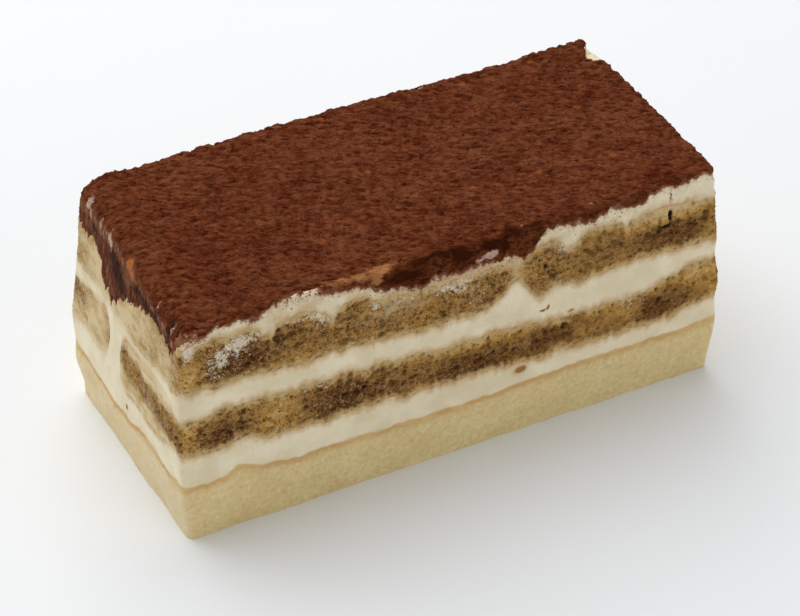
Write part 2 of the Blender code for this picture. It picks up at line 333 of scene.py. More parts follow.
class Wire:
    """A socket in a node tree. Arithmetic on it adds Math nodes, and add any other node."""

    def __init__(self, tree, socket=None):
        self.tree = tree
        self.socket = socket

    def add(self, kind, settings=(), values=(), output=0):
        """Add a node: first its settings or its ramp's stops, then its sockets' values or links."""
        node = self.tree.nodes.new(kind)
        for name, value in dict(settings).items():
            if name == "stops":
                for number, (position, colour) in enumerate(value):
                    stop = node.color_ramp.elements[number] if number < 2 else None
                    stop = stop or node.color_ramp.elements.new(position)
                    stop.position = position
                    stop.color = colour
            else:
                setattr(node, name, value)
        for socket, value in dict(values).items():
            if isinstance(value, Wire):
                self.tree.links.new(value.socket, node.inputs[socket])
            else:
                node.inputs[socket].default_value = value
        return Wire(self.tree, node.outputs[output] if len(node.outputs) else None)

    def maths(self, operation, *values):
        return self.add("ShaderNodeMath", {"operation": operation}, enumerate(values))

    def __add__(self, other):
        return self.maths("ADD", self, other)

    def __sub__(self, other):
        return self.maths("SUBTRACT", self, other)

    def __rsub__(self, other):
        return self.maths("SUBTRACT", other, self)

    def __mul__(self, other):
        return self.maths("MULTIPLY", self, other)

    __radd__ = __add__
    __rmul__ = __mul__

    def least(self, other):
        return self.maths("MINIMUM", self, other)

    def most(self, other):
        return self.maths("MAXIMUM", self, other)

    def eased(self, start, end):
        """Nought at start and one at end, eased between them."""
        settings = {"interpolation_type": "SMOOTHSTEP"}
        return self.add("ShaderNodeMapRange", settings, {0: self, 1: start, 2: end})

    def mix(self, first, second):
        """Colour from the first to the second as this goes from nought to one."""
        return self.add("ShaderNodeMix", {"data_type": "RGBA"}, {0: self, 6: first, 7: second}, 2)

    def times(self, factors):
        """Vector with each part multiplied."""
        return self.add("ShaderNodeVectorMath", {"operation": "MULTIPLY"}, {0: self, 1: factors})

    def plus(self, other):
        """Sum of two vectors."""
        return self.add("ShaderNodeVectorMath", {"operation": "ADD"}, {0: self, 1: other})

    def scaled(self, factor):
        """Vector or colour made larger or smaller by a factor."""
        return self.add("ShaderNodeVectorMath", {"operation": "SCALE"}, {0: self, "Scale": factor})

    def noise(self, size, detail=2.0, roughness=0.5, output=0):
        """Cloudy value with lumps of a size, around this place."""
        values = {"Vector": self, "Scale": 1.0 / size, "Detail": detail, "Roughness": roughness}
        return self.add("ShaderNodeTexNoise", {}, values, output)

    def also(self, output):
        """Another output of the node that this socket is on."""
        return Wire(self.tree, self.socket.node.outputs[output])

    def holes(self, size, least, most, soft=0.2):
        """One within scattered round holes in cells of a size, nought between them."""
        scale = self.maths("DIVIDE", 1.0, size)
        cell = self.add("ShaderNodeTexVoronoi", {}, {"Vector": self, "Scale": scale}, "Color")
        chance = self.add("ShaderNodeSeparateXYZ", {}, {0: cell})
        distance = self.add("ShaderNodeTexVoronoi", {}, {"Vector": self, "Scale": scale}, "Distance")
        return (distance - (chance * (most - least) + least)).eased(0.0, -soft)


def shade(red, green, blue):
    """Linear colour of an 8-bit display colour."""
    levels = np.array([red, green, blue]) / 255.0
    linear = np.where(levels <= 0.04045, levels / 12.92, ((levels + 0.055) / 1.055) ** 2.4)
    return (*linear.tolist(), 1.0)


def new_food(name):
    """Empty material with a start for its wires, its place in millimetres and its named values."""
    made = bpy.data.materials.new(name)
    made.use_nodes = True
    made.node_tree.nodes.clear()
    start = Wire(made.node_tree)
    place = start.add("ShaderNodeTexCoord", output="Object").times((1.0 / MM,) * 3)

    def value(label):
        return start.add("ShaderNodeAttribute", {"attribute_name": label}, output="Fac")

    return made, start, place, value


def finish_food(start, colour, roughness, height, relief, sheen):
    """Principled shader with a height map whose relief is in millimetres."""
    normal = start.add("ShaderNodeBump", {}, {"Height": height, "Distance": relief * MM, "Strength": 1.0})
    values = {"Base Color": colour, "Roughness": roughness, "Normal": normal, "Specular IOR Level": sheen}
    shader = start.add("ShaderNodeBsdfPrincipled", {}, values)
    start.add("ShaderNodeOutputMaterial", {}, {"Surface": shader})


PALE_SPONGE = shade(238, 217, 164)
DEEP_SPONGE = shade(222, 196, 138)
SPONGE_HIGHLIGHT = shade(248, 232, 188)
SPONGE_PORE_SHADE = shade(190, 154, 96)
SPONGE_END_LIGHT = shade(240, 224, 194)
CRUST_GOLD = shade(222, 185, 126)
CRUST_BROWN = shade(212, 166, 108)


def pale_sponge():
    """Dry yellow crumb, browned crust on top, painted highlight on its raised walls and painted shade in
    its pores.
    """
    made, start, place, value = new_food("pale_sponge")
    cloud = place.noise(7.0, 2.0)
    crumb = place.noise(1.1, 4.0, 0.6)
    fine = place.noise(0.4, 2.0)
    colour = (cloud * 0.5 + crumb * 0.9 - 0.2).eased(0.2, 0.8).mix(DEEP_SPONGE, PALE_SPONGE)
    wall = place.noise(0.9, 4.0, 0.65)
    # Painted highlight and shade: lighter where the crumb's walls stand high in the bump, darker in its
    # pores and low parts.
    colour = (wall.eased(0.52, 0.74) * 0.6).mix(colour, SPONGE_HIGHLIGHT)
    colour = (value("pit") * 0.3 + wall.eased(0.44, 0.28) * 0.4).mix(colour, SPONGE_PORE_SHADE)
    patchy = place.noise(4.0, 3.0)
    # Painted light: the left end is paler and cooler, as the light from the left falls on it.
    colour = (value("left_end_light") * (patchy.eased(0.3, 0.6) * 0.3 + 0.22)).mix(colour, SPONGE_END_LIGHT)
    drop = value("drop") + (crumb - 0.5) * 1.4 + (patchy - 0.5) * 2.2
    colour = (drop.eased(2.8, 0.4) * 0.7).mix(colour, CRUST_GOLD)
    browned = drop.eased(1.7, 0.8) * (1.0 - drop.eased(0.6, -0.2) * 0.6)
    colour = (browned * patchy.eased(0.3, 0.6) * 0.75).mix(colour, CRUST_BROWN)
    height = wall * 0.7 + crumb * 0.5 + fine * 0.3
    finish_food(start, colour, 0.9, height, 0.3, 0.15)
    return made


def new_shape_tree(name, sizes):
    """Geometry tree with named sizes and a finish, and the wires that bring them in."""
    tree = bpy.data.node_groups.new(name, "GeometryNodeTree")
    tree.interface.new_socket("Geometry", in_out="INPUT", socket_type="NodeSocketGeometry")
    for label, size in sizes.items():
        tree.interface.new_socket(label, in_out="INPUT", socket_type="NodeSocketFloat").default_value = size
    tree.interface.new_socket("Finish", in_out="INPUT", socket_type="NodeSocketMaterial")
    tree.interface.new_socket("Geometry", in_out="OUTPUT", socket_type="NodeSocketGeometry")
    start = Wire(tree)
    brought = tree.nodes.new("NodeGroupInput")
    given = {socket.name: Wire(tree, socket) for socket in brought.outputs if socket.name}
    given["place"] = start.add("GeometryNodeInputPosition").times((1.0 / MM,) * 3)
    return start, given


def known(start, label, kind="FLOAT"):
    """Value that the points carry by name."""
    return start.add("GeometryNodeInputNamedAttribute", {"data_type": kind}, {"Name": label})


def end_shape_tree(start, given, geometry):
    """Realize what the tree made, give it its finish and bring it out."""
    real = start.add("GeometryNodeRealizeInstances", {}, {"Geometry": geometry})
    dressed = start.add("GeometryNodeSetMaterial", {}, {"Geometry": real, "Material": given["Finish"]})
    start.add("NodeGroupOutput", {}, {"Geometry": dressed})
    return start.tree


def pushed(start, geometry, direction, distance):
    """Geometry with its points moved along a direction by a distance in millimetres."""
    offset = direction.scaled(distance * MM)
    return start.add("GeometryNodeSetPosition", {}, {"Geometry": geometry, "Offset": offset})


def kept(start, geometry, label, value):
    """Geometry whose points carry one more value."""
    values = {"Geometry": geometry, "Name": label, "Value": value}
    return start.add("GeometryNodeStoreNamedAttribute", {"data_type": "FLOAT", "domain": "POINT"}, values)


def open_crumb():
    """Cut crumb: pores of two sizes sunk into a grainy side, fewer where cream is smeared over it."""
    sizes = {"Pore": 1.7, "Pore depth": 0.5, "Fine pore": 0.9, "Fine depth": 0.36}
    sizes |= {"Grain": 0.7, "Grit": 0.35}
    start, given = new_shape_tree("open_crumb", sizes)
    place = given["place"]
    bent = place.plus(place.noise(1.5, 3.0, output="Color").scaled(1.2)).times((0.65, 0.65, 1.0))
    large = bent.holes(given["Pore"], -0.1, 0.5, 0.24)
    small = bent.holes(given["Fine pore"], 0.18, 0.62, 0.3)
    open_share = known(start, "open")
    edge = known(start, "rise").least(known(start, "drop")).eased(-0.1, 0.7)
    grain = place.noise(1.3, 3.0, 0.6) - 0.5
    sunk = open_share * edge * (large * given["Pore depth"] + small * given["Fine depth"])
    grit = place.noise(0.6, 2.0) - 0.5
    rough = grain * given["Grain"] + grit * given["Grit"]
    level = (rough * (edge * 0.7 + 0.3) * (open_share * 0.7 + 0.3)).least(0.2) - sunk
    geometry = pushed(start, given["Geometry"], known(start, "outward", "FLOAT_VECTOR"), level)
    # The pores are kept as pit, for the painted shade that the finishes put in them.
    geometry = kept(start, geometry, "pit", open_share * large.most(small * 0.7))
    return end_shape_tree(start, given, geometry)


def worked(piece, tree, finish, sizes=()):
    """Run a geometry tree on a piece and keep what it makes as the piece's own plain mesh."""
    modifier = piece.modifiers.new("Work", "NODES")
    modifier.node_group = tree
    for label, size in dict(sizes, Finish=finish).items():
        modifier[tree.interface.items_tree[label].identifier] = size
    bpy.context.view_layer.update()
    seen = piece.evaluated_get(bpy.context.evaluated_depsgraph_get())
    mesh = bpy.data.meshes.new_from_object(seen)
    plain = piece.data
    piece.modifiers.clear()
    piece.data = mesh
    bpy.data.meshes.remove(plain)
    mesh.name = piece.name
    return piece


def flat_base(x, y):
    """Underside of the block."""
    return np.zeros_like(x)


crust = seam(CRUST_FRONT, CRUST_END, 0.25, 0.6, 11)
crumb_tree = open_crumb()
block = outline(-HALF_LENGTH, HALF_LENGTH, -HALF_WIDTH, HALF_WIDTH, BASE_STEP)
rows, marks = slab(block, flat_base, crust, BASE_STEP, BASE_INSET, 0.0, 0.0)
marks["open"] = np.full_like(marks["rise"], BASE_OPENNESS)
# The left end carries painted light: paler and cooler than the front.
marks["left_end_light"] = facing(block[1], LEFT) + np.zeros_like(marks["rise"])
base_sponge = closed("base_sponge_crumb", rows, flat_base, crust, marks)
worked(base_sponge, crumb_tree, pale_sponge(), BASE_CRUMB)
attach(base_sponge, "root")
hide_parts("base_sponge")

# Lower cream: whipped mascarpone spread over the crust, about 6 mm thick. The knife drew it flat on the
# cut sides, with faint drag marks, stains from the wet sponge above and a drop of coffee on the front.
CREAM_STEP = 0.3
CREAM_INSET = 0.4
CREAM_WHITE = shade(247, 234, 203)
CREAM_WARM = shade(233, 217, 180)
COFFEE_STAIN = shade(208, 170, 118)
COFFEE_EDGE = shade(184, 142, 90)
COFFEE_DROP = shade(162, 114, 56)
COCOA_DUST = shade(124, 66, 38)
DUST_TAN = shade(190, 146, 112)
HOLLOW_SHADE_DARK = shade(54, 32, 17)

# Tops of the lower cream and of the middle sponge, in the form of the crust's
LOWER_FRONT = (
    (-58, 21.6), (-56, 21.0), (-54, 20.4), (-50, 20.0), (-47, 21.1), (-44.5, 21.1), (-41.7, 19.6),
    (-38.6, 19.1), (-16.7, 19.1), (-6.5, 18.1), (-3.3, 18.5), (8.2, 17.9), (15.3, 17.3), (24.9, 16.9),
    (31.7, 16.5), (41, 16.6), (50.3, 17.3), (58, 18.6),
)
LOWER_END = (
    (-27, 20.0), (-21.7, 19.3), (-16.5, 17.9), (-5.4, 18.6), (-0.5, 18.1), (2.2, 19.6), (9.5, 19.9),
    (14.5, 19.3), (19, 20.4), (27, 18.0),
)
FINGER_FRONT = (
    (-58, 28.6), (-54.4, 28.4), (-49.3, 29.2), (-42.2, 28.8), (-27.6, 28.4), (-12.7, 27.6), (-4.1, 26.6),
    (6, 26.8), (15.3, 26.0), (24.7, 25.1), (31.5, 24.7), (39.7, 24.8), (45.6, 26.2), (48.8, 26.5),
    (49.8, 27.6), (58, 27.7),
)
FINGER_END = (
    (-27, 28.3), (-24, 27.8), (-16.8, 28.0), (-12.1, 28.7), (-3.7, 29.8), (1.8, 30.3), (8.9, 31.0),
    (13.3, 31.2), (21.7, 29.4), (27, 29.1),
)
# Channel between the two rows of fingers, and the round of their edges
CHANNEL_FRONT = 2.4
CHANNEL_BACK = 8.0
FINGER_ROUND = 4.0
FINGER_BLUNT = 0.3
CALM_BEHIND = 4.0
CLOUD_PITCH = 17.0
CLOUD_FLAT = 2.5

# Stains on the creams as (place, height, reach, reach up, strength), on the front and on the left end
# The strongest, from about 2.6 up, are painted shade: small cracks and holes painted dark.
LOWER_STAIN_FRONT = (
    (13.1, 15.7, 1.55, 1.0, 2.2), (14.1, 15.9, 0.35, 0.6, 0.6), (-44.0, 16.2, 3.0, 0.8, 0.25),
    (30.0, 15.9, 6.0, 0.5, 0.3),
)
LOWER_STAIN_AND_HOLE_END = ((-0.2, 14.4, 0.4, 0.5, 5.0), (13.0, 17.5, 1.2, 0.8, 0.3))


def patches(spots, along, height):
    """Sum of soft oval patches, each one a place, a height, its reach both ways and its strength."""
    total = np.zeros_like(along)
    for place, level, reach, reach_up, strength in spots:
        distance = ((along - place) / reach) ** 2 + ((height - level) / reach_up) ** 2
        total += strength * np.exp(-distance)
    return total


def on_sides(front, left, hidden, seed, rows, directions):
    """Patches of the front and the left end, and clouds of a strength on the two hidden sides."""
    x, y, z = np.moveaxis(rows, -1, 0)
    facing_front = facing(directions, FRONT)
    facing_left = facing(directions, LEFT)
    clouds = hidden * ripple(x + y, CLOUD_FLAT * z, seed, CLOUD_PITCH)
    total = facing_front * patches(front, x, z) + facing_left * patches(left, y, z)
    return total + (1.0 - facing_front - facing_left) * clouds


def spread_cream():
    """Cream under the knife: a slow swell, fine drag marks along the side and a few burst bubbles."""
    sizes = {"Swell": 0.3, "Drag": 0.12, "Bubble": 2.6, "Bubble depth": 0.22, "Fluff": 0.0}
    start, given = new_shape_tree("spread_cream", sizes)
    place = given["place"]
    swell = place.noise(5.0, 2.0) - 0.5
    drag = place.times((0.12, 0.12, 1.0)).noise(0.6, 3.0, 0.6) - 0.5
    bubble = place.holes(given["Bubble"], -0.1, 0.22, 0.08)
    fluff = place.noise(2.0, 4.0, 0.55) - 0.55
    edge = known(start, "rise").least(known(start, "drop")).eased(-0.1, 0.5) * 0.8 + 0.2
    level = swell * given["Swell"] + drag * given["Drag"] - bubble * given["Bubble depth"]
    level = level + fluff * given["Fluff"]
    level = level * edge.most(known(start, "joined")) * (1.0 - known(start, "held"))
    geometry = pushed(start, given["Geometry"], known(start, "outward", "FLOAT_VECTOR"), level)
    geometry = kept(start, geometry, "pit", bubble)
    return end_shape_tree(start, given, geometry)


def mascarpone():
    """Moist cream, tinted where it touches wet sponge, with coffee drops, specks, cocoa dust and painted
    shade in small cracks.
    """
    made, start, place, value = new_food("mascarpone")
    cloud = place.noise(6.0, 3.0)
    fine = place.noise(0.6, 3.0, 0.6)
    fray = place.noise(1.6, 4.0, 0.6)
    colour = (cloud + fine * 0.25 - 0.12).eased(0.3, 0.75).mix(CREAM_WARM, CREAM_WHITE)
    seep = (value("rise") + value("over_crust") * 3.0).least(value("drop"))
    seep = seep + (fray - 0.5) * 2.4 + value("joined") * 4.0
    colour = (seep.eased(1.7, 0.0) * (0.75 - value("calm") * 0.35)).mix(colour, COFFEE_STAIN)
    colour = (seep.eased(0.5, -0.3) * (0.5 - value("calm") * 0.5)).mix(colour, COFFEE_EDGE)
    toasted = value("rise") + (fray - 0.5) * 0.8 + 3.0 - value("over_crust") * 3.0
    colour = (toasted.eased(0.7, -0.2) * 0.35).mix(colour, CRUST_GOLD)
    stain_and_crack = value("stain_and_crack_shade") + (fray - 0.5) * 0.9
    colour = (stain_and_crack.eased(0.1, 0.9) * 0.55).mix(colour, COFFEE_STAIN)
    colour = stain_and_crack.eased(0.9, 1.7).mix(colour, COFFEE_DROP)
    # Painted shade: the strongest marks are small cracks and holes, painted dark as shade falls in them.
    colour = stain_and_crack.eased(2.6, 4.0).mix(colour, HOLLOW_SHADE_DARK)
    specks = place.holes(0.9, -0.4, 0.09, 0.05)
    colour = (specks * 0.6).mix(colour, COFFEE_DROP)
    powder = value("dust") + (place.noise(0.55, 3.0, 0.7) - 0.5) * 1.7 * value("dust").eased(0.0, 0.12)
    colour = (powder.eased(0.1, 0.6) * 0.6).mix(colour, DUST_TAN)
    colour = (powder.eased(0.35, 0.8) * 0.95).mix(colour, COCOA_DUST)
    drag = place.times((0.15, 0.15, 1.0)).noise(0.4, 2.0)
    height = fine * 0.5 + drag * 0.5 + value("fluffy") * fray * 1.5
    finish_food(start, colour, 0.55, height, 0.12, 0.25)
    return made


def row_share(y):
    """Share of the middle sponge's thickness at a depth: rounded at the rows' edges, none between."""
    inside = np.maximum(CHANNEL_FRONT - y, y - CHANNEL_BACK)
    inward = np.clip(inside / FINGER_ROUND, 0.0, 1.0)
    share = FINGER_BLUNT + (1.0 - FINGER_BLUNT) * np.sqrt(1.0 - (1.0 - inward) ** 2)
    return np.where(inside < -0.001, 0.0, share)


def finger_under(x, y):
    """Underside of the middle sponge, rising to half its thickness in the channel."""
    low = lower_cream_top(x, y)
    return low + (finger_top(x, y) - low) * 0.5 * (1.0 - row_share(y))


def finger_over(x, y):
    """Top of the middle sponge, dropping to half its thickness in the channel."""
    high = finger_top(x, y)
    return high - (high - lower_cream_top(x, y)) * 0.5 * (1.0 - row_share(y))


lower_cream_top = seam(LOWER_FRONT, LOWER_END, 0.35, 1.0, 21)
finger_top = seam(FINGER_FRONT, FINGER_END, 0.35, 1.0, 31)
cream_tree = spread_cream()
cream_finish = mascarpone()
block = outline(-HALF_LENGTH, HALF_LENGTH, -HALF_WIDTH, HALF_WIDTH, CREAM_STEP)
rows, marks = slab(block, crust, finger_under, CREAM_STEP, CREAM_INSET, 0.0, 0.0)
facing_end = block[1][:, 0] ** 2
marks["calm"] = facing_end * ramp(0.0, CALM_BEHIND, rows[..., 1])
marks["joined"] = ramp(0.5, 0.0, row_share(rows[..., 1]))
marks["stain_and_crack_shade"] = on_sides(LOWER_STAIN_FRONT, LOWER_STAIN_AND_HOLE_END, 0.15, 22, rows, block[1])
marks["over_crust"] = np.ones_like(marks["rise"])
cream_lower = closed("cream_lower_spread", rows, crust, finger_under, marks)
worked(cream_lower, cream_tree, cream_finish)
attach(cream_lower, "root")
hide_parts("cream_lower")

# Middle sponge: sponge fingers dipped in coffee and laid in two rows along the slice. The front row is
# wet and dark at its heart with golden rims, the rear row is paler where it was cut at the left end.
SPONGE_STEP = 0.21
SPONGE_INSET = 0.42
SPONGE_BULGE = 0.16
SPONGE_LAP = 0.12
CREVICE_DEPTH = 0.7
FINGER_MATTED = (-30.0, 30.0)
DRY_SPONGE = shade(220, 182, 116)
GOLD_SPONGE = shade(198, 149, 74)
TAN_SPONGE = shade(164, 121, 64)
COFFEE_SPONGE = shade(108, 69, 32)
PALE_SPONGE_END = shade(230, 206, 160)
TAN_SPONGE_END = shade(206, 174, 124)
PALE_RIM = shade(212, 182, 130)
LIGHT_CRUMB_AND_HIGHLIGHT = shade(212, 180, 128)
DARK_CRUMB_AND_SHADE = shade(68, 32, 8)
PORE_SHADE_BROWN = shade(52, 24, 5)
CREAM_SMEAR = shade(238, 225, 202)

# Coffee, pale crumb and smeared cream on the cut sides as (place, height, reach, reach up, strength). A
# negative strength of coffee is drier.
FINGER_SOAK_FRONT = (
    (-57.0, 24.5, 2.2, 5.0, -0.7), (-49.4, 23.9, 6.0, 2.8, 0.7), (-37.7, 24.3, 4.2, 5.0, -0.7),
    (-24.0, 23.0, 10.0, 4.0, 0.7), (-7.0, 22.6, 3.6, 4.0, 0.1), (3.6, 20.8, 10.0, 3.4, 0.7),
    (5.0, 25.8, 12.0, 1.4, -0.9), (20.0, 21.2, 5.0, 3.0, 0.5), (36.5, 22.0, 3.6, 2.6, -0.5),
    (45.0, 20.8, 6.5, 2.8, 0.65), (52.5, 25.6, 5.0, 2.0, -0.7), (57.5, 22.5, 2.6, 5.0, -0.5),
)
FINGER_SOAK_END = (
    (-12.0, 24.2, 10.0, 2.4, 0.2), (1.2, 26.0, 1.6, 3.2, 0.45), (-20.0, 23.0, 6.0, 2.6, 0.2),
    (22.5, 27.0, 3.0, 2.4, 0.5),
)
FINGER_PALE_END = (
    (14.0, 24.0, 6.5, 8.0, 1.0), (26.0, 21.0, 5.0, 4.0, 0.9), (-10.0, 28.8, 12.0, 1.3, 0.75),
    (-8.0, 20.2, 14.0, 1.7, 0.85), (3.0, 22.0, 3.0, 4.0, 0.7), (-12.0, 24.0, 14.0, 5.0, 0.3),
)
FINGER_SMEAR_FRONT = ((-30.0, 27.4, 5.0, 0.9, 0.3), (38.0, 22.5, 3.0, 1.5, 0.25))
FINGER_SMEAR_END = ((14.0, 25.0, 6.0, 4.5, 0.3),)
# Deep crevices in the crumb of the front as (x, z, reach, reach up, strength), sunk in and painted dark as
# their shade
FINGER_PIT_FRONT = (
    (-20.5, 23.6, 0.5, 0.7, 0.8), (7.3, 22.0, 0.5, 0.5, 0.8), (-47.6, 23.0, 0.6, 0.6, 0.7),
    (-12.0, 21.8, 0.4, 0.5, 0.7), (6.2, 25.6, 0.4, 0.6, 0.8), (-35.4, 26.7, 0.4, 0.4, 0.7),
)
# Lists of the front and of the left end, with the strength and the seed of the clouds on the other sides
FINGER_MARKS = {
    "soak": (FINGER_SOAK_FRONT, FINGER_SOAK_END, 0.5, 32),
    "smear": (FINGER_SMEAR_FRONT, FINGER_SMEAR_END, 0.2, 33),
    "pale": ((), FINGER_PALE_END, 0.25, 34),
}


def soaked_sponge():
    """Coffee-soaked crumb: dark at its heart, tan and golden outwards, cream smeared over parts, painted
    shade in its pores.
    """
    made, start, place, value = new_food("soaked_sponge")
    cloud = place.noise(5.0, 2.0)
    mottle = place.noise(1.7, 3.0, 0.6)
    fine = place.noise(0.5, 3.0, 0.6)
    heart = (value("rise") + (mottle - 0.5) * 1.6).eased(0.0, 1.7)
    heart = heart * (value("drop") + (mottle - 0.5) * 2.0).eased(0.2, 2.1)
    wet = heart * 0.4 + value("soak") * (heart * 0.65 + 0.35)
    wet = wet + (cloud - 0.5) * 0.8 + (mottle - 0.5) * 1.5
    stops = ((0.0, DRY_SPONGE), (1.0, COFFEE_SPONGE), (0.3, GOLD_SPONGE), (0.62, TAN_SPONGE))
    colour = start.add("ShaderNodeValToRGB", {"stops": stops}, {"Fac": wet * 0.7 + 0.3})
    bent = place.plus(place.noise(1.5, 2.0, output="Color").scaled(0.8))
    wall = place.times((0.8, 0.8, 1.0)).noise(0.75, 4.0, 0.6)
    light = place.times((0.6, 0.6, 1.0)).noise(1.1, 4.0, 0.65)
    grit = place.noise(0.36, 2.0, 0.6)
    # The tone follows the bump's wall and grit as well as the mottle: partly the crumb's own shades, partly
    # painted highlight on its raised grain and painted shade in its low parts.
    tone = (wall - 0.5) * 1.2 + (grit - 0.5) * 2.2 + (light - 0.5) * 1.2 + (mottle - 0.5) * 0.4
    tone = tone * (1.0 - value("matted") * 0.45)
    colour = (tone.eased(0.0, -0.6) * 0.85).mix(colour, DARK_CRUMB_AND_SHADE)
    colour = (tone.eased(0.0, 0.8) * 0.85).mix(colour, LIGHT_CRUMB_AND_HIGHLIGHT)
    rim = value("rise").least(value("drop")) + (mottle - 0.5) * 2.2
    firm = 1.0 - value("pale") * 0.9
    colour = (rim.eased(1.7, 0.0) * 0.85 * firm).mix(colour, PALE_RIM)
    long_place = bent.times((0.6, 0.6, 1.0))
    pores = long_place.holes(0.8, -0.1, 0.5, 0.25) * (mottle * 1.8 - 0.45).eased(0.1, 0.6)
    pores = pores.most((0.5 - wall).eased(0.09, 0.2) * 0.8)
    streak = place.times((0.5, 0.3, 1.0)).noise(1.8, 2.0, 0.5)
    pale = (value("pale") + (mottle - 0.5) * 0.7 + (streak - 0.5) * 0.3).eased(0.05, 0.85)
    dabs = (wall - 0.5) * 1.7 + (mottle - 0.5) * 1.3 + (grit - 0.5) * 1.5
    smear = (value("smear") + dabs * value("smear").eased(0.0, 0.1)).eased(0.32, 0.8)
    covered = 1.0 - pale.most(smear) * 0.9
    # Painted shade: the pores and pits are darkened as shade falls in them.
    hollow_shade = value("pit").most(pores * 0.85) * covered
    blotch = place.times((1.0, 0.6, 1.0)).noise(2.6, 3.0)
    pale_crumb = (blotch + (streak - 0.5) * 0.5).eased(0.32, 0.6).mix(TAN_SPONGE_END, PALE_SPONGE_END)
    colour = (pale * 0.92).mix(colour, pale_crumb)
    melt = value("rise").least(value("drop")) + (mottle - 0.5) * 2.6
    colour = (melt.eased(1.8, 0.0) * value("pale") * 0.8).mix(colour, CREAM_WARM)
    colour = (hollow_shade * (wet.eased(0.0, 0.7) * 0.36 + 0.36)).mix(colour, PORE_SHADE_BROWN)
    colour = (smear * 0.8).mix(colour, CREAM_SMEAR)
    # Painted shade: the deep crevices are painted dark.
    colour = value("crevice").eased(0.3, 0.7).mix(colour, HOLLOW_SHADE_DARK)
    powder = value("dust") + (place.noise(0.6, 3.0, 0.7) - 0.5) * 1.6
    colour = powder.eased(0.4, 0.65).mix(colour, COCOA_DUST)
    height = (wall * 0.8 + grit * 0.7 - pores * 0.6) * covered + smear * fine * 0.6
    finish_food(start, colour, 0.88, height, 0.34, 0.1)
    return made


def steep(rows, marks, directions, lists, pits):
    """Give the sides of a soaked layer its wet, smeared and pale parts, and sink its deep crevices."""
    for label, spots in lists.items():
        marks[label] = on_sides(*spots, rows, directions)
    marks["open"] = np.clip(1.0 - marks["smear"] - 0.9 * marks["pale"], 0.1, 1.0)
    marks["crevice"] = facing(directions, FRONT) * patches(pits, rows[..., 0], rows[..., 2])
    rows -= CREVICE_DEPTH * marks["crevice"][..., None] * marks["outward"]


sponge_finish = soaked_sponge()
rings = {
    "front": outline(-HALF_LENGTH, HALF_LENGTH, -HALF_WIDTH, CHANNEL_FRONT, SPONGE_STEP, 2),
    "rear": outline(-HALF_LENGTH, HALF_LENGTH, CHANNEL_BACK, HALF_WIDTH, SPONGE_STEP, 0),
}
for row_name, ring in rings.items():
    rows, marks = slab(ring, finger_under, finger_over, SPONGE_STEP, SPONGE_INSET, SPONGE_BULGE, SPONGE_LAP)
    marks["matted"] = ramp(*FINGER_MATTED, rows[..., 0])
    steep(rows, marks, ring[1], FINGER_MARKS, FINGER_PIT_FRONT)
    fingers = closed("fingers_" + row_name + "_crumb", rows, finger_under, finger_over, marks)
    worked(fingers, crumb_tree, sponge_finish)
    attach(fingers, "root")
    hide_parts("fingers_" + row_name)

# Middle cream: the second spread of mascarpone. It runs down into the channel between the two rows of
# sponge fingers, where it meets the lower cream, and rises in a ridge at the joint of the sponge above.
JOINT_X = 12.6
JOINT_ROUND = 4.5
RIDGE_RISE = 3.6

# Top of the middle cream, its stains, and the painted shade of its cracks
MIDDLE_FRONT = (
    (-58, 34.7), (-49, 34.5), (-37.5, 34.3), (-32.5, 33.2), (-28.9, 33.8), (-18.2, 33.3), (-6.3, 32.1),
    (-0.4, 32.4), (4.5, 32.7), (8.2, 33.2), (12.6, 33.4), (15, 32.8), (16.4, 31.8), (18.1, 31.3),
    (19.7, 31.9), (21.6, 33.0), (25.1, 32.4), (29.3, 31.9), (34.9, 32.6), (51.5, 32.4), (58, 31.7),
)
MIDDLE_END = (
    (-27, 34.3), (-22.3, 32.4), (-19.2, 33.8), (-12, 31.9), (-4.7, 31.6), (1.8, 32.6), (11.7, 33.2),
    (17.8, 32.5), (27, 32.8),
)
MIDDLE_STAIN_AND_CRACK_FRONT = (
    (-18.3, 32.9, 0.25, 1.4, 1.5), (18.2, 28.1, 0.7, 0.22, 4.5), (19.3, 28.6, 0.25, 0.5, 4.0),
    (24.2, 26.0, 0.8, 0.25, 3.0), (-2.0, 31.9, 0.3, 1.2, 0.9), (17.6, 30.8, 0.9, 1.0, 0.7),
    (-50.0, 29.6, 5.0, 0.5, 0.3), (47.0, 28.5, 1.0, 1.0, 0.3),
)
MIDDLE_STAIN_END = (
    (4.5, 24.0, 1.2, 3.0, 0.25), (20.0, 31.5, 3.0, 0.6, 0.35), (-11.0, 30.2, 13.0, 1.2, 0.9),
)


def ridge(x):
    """Rise of the cream into the joint of the upper sponge."""
    return RIDGE_RISE * (1.0 - ramp(0.0, JOINT_ROUND, np.abs(x - JOINT_X)))


def upper_under(x, y):
    """Underside of the upper sponge."""
    return middle_cream_top(x, y) + ridge(x)


middle_cream_top = seam(MIDDLE_FRONT, MIDDLE_END, 0.35, 1.0, 41)
rows, marks = slab(block, finger_over, upper_under, CREAM_STEP, CREAM_INSET, 0.0, 0.0)
behind = ramp(0.0, CALM_BEHIND, rows[..., 1])
marks["calm"] = facing_end * np.maximum(behind, marks["rise"] > marks["drop"])
marks["joined"] = ramp(0.5, 0.0, row_share(rows[..., 1])) * (marks["rise"] < marks["drop"])
marks["stain_and_crack_shade"] = on_sides(MIDDLE_STAIN_AND_CRACK_FRONT, MIDDLE_STAIN_END, 0.15, 42, rows, block[1])
cream_middle = closed("cream_middle_spread", rows, finger_over, upper_under, marks)
worked(cream_middle, cream_tree, cream_finish)
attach(cream_middle, "root")
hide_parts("cream_middle")

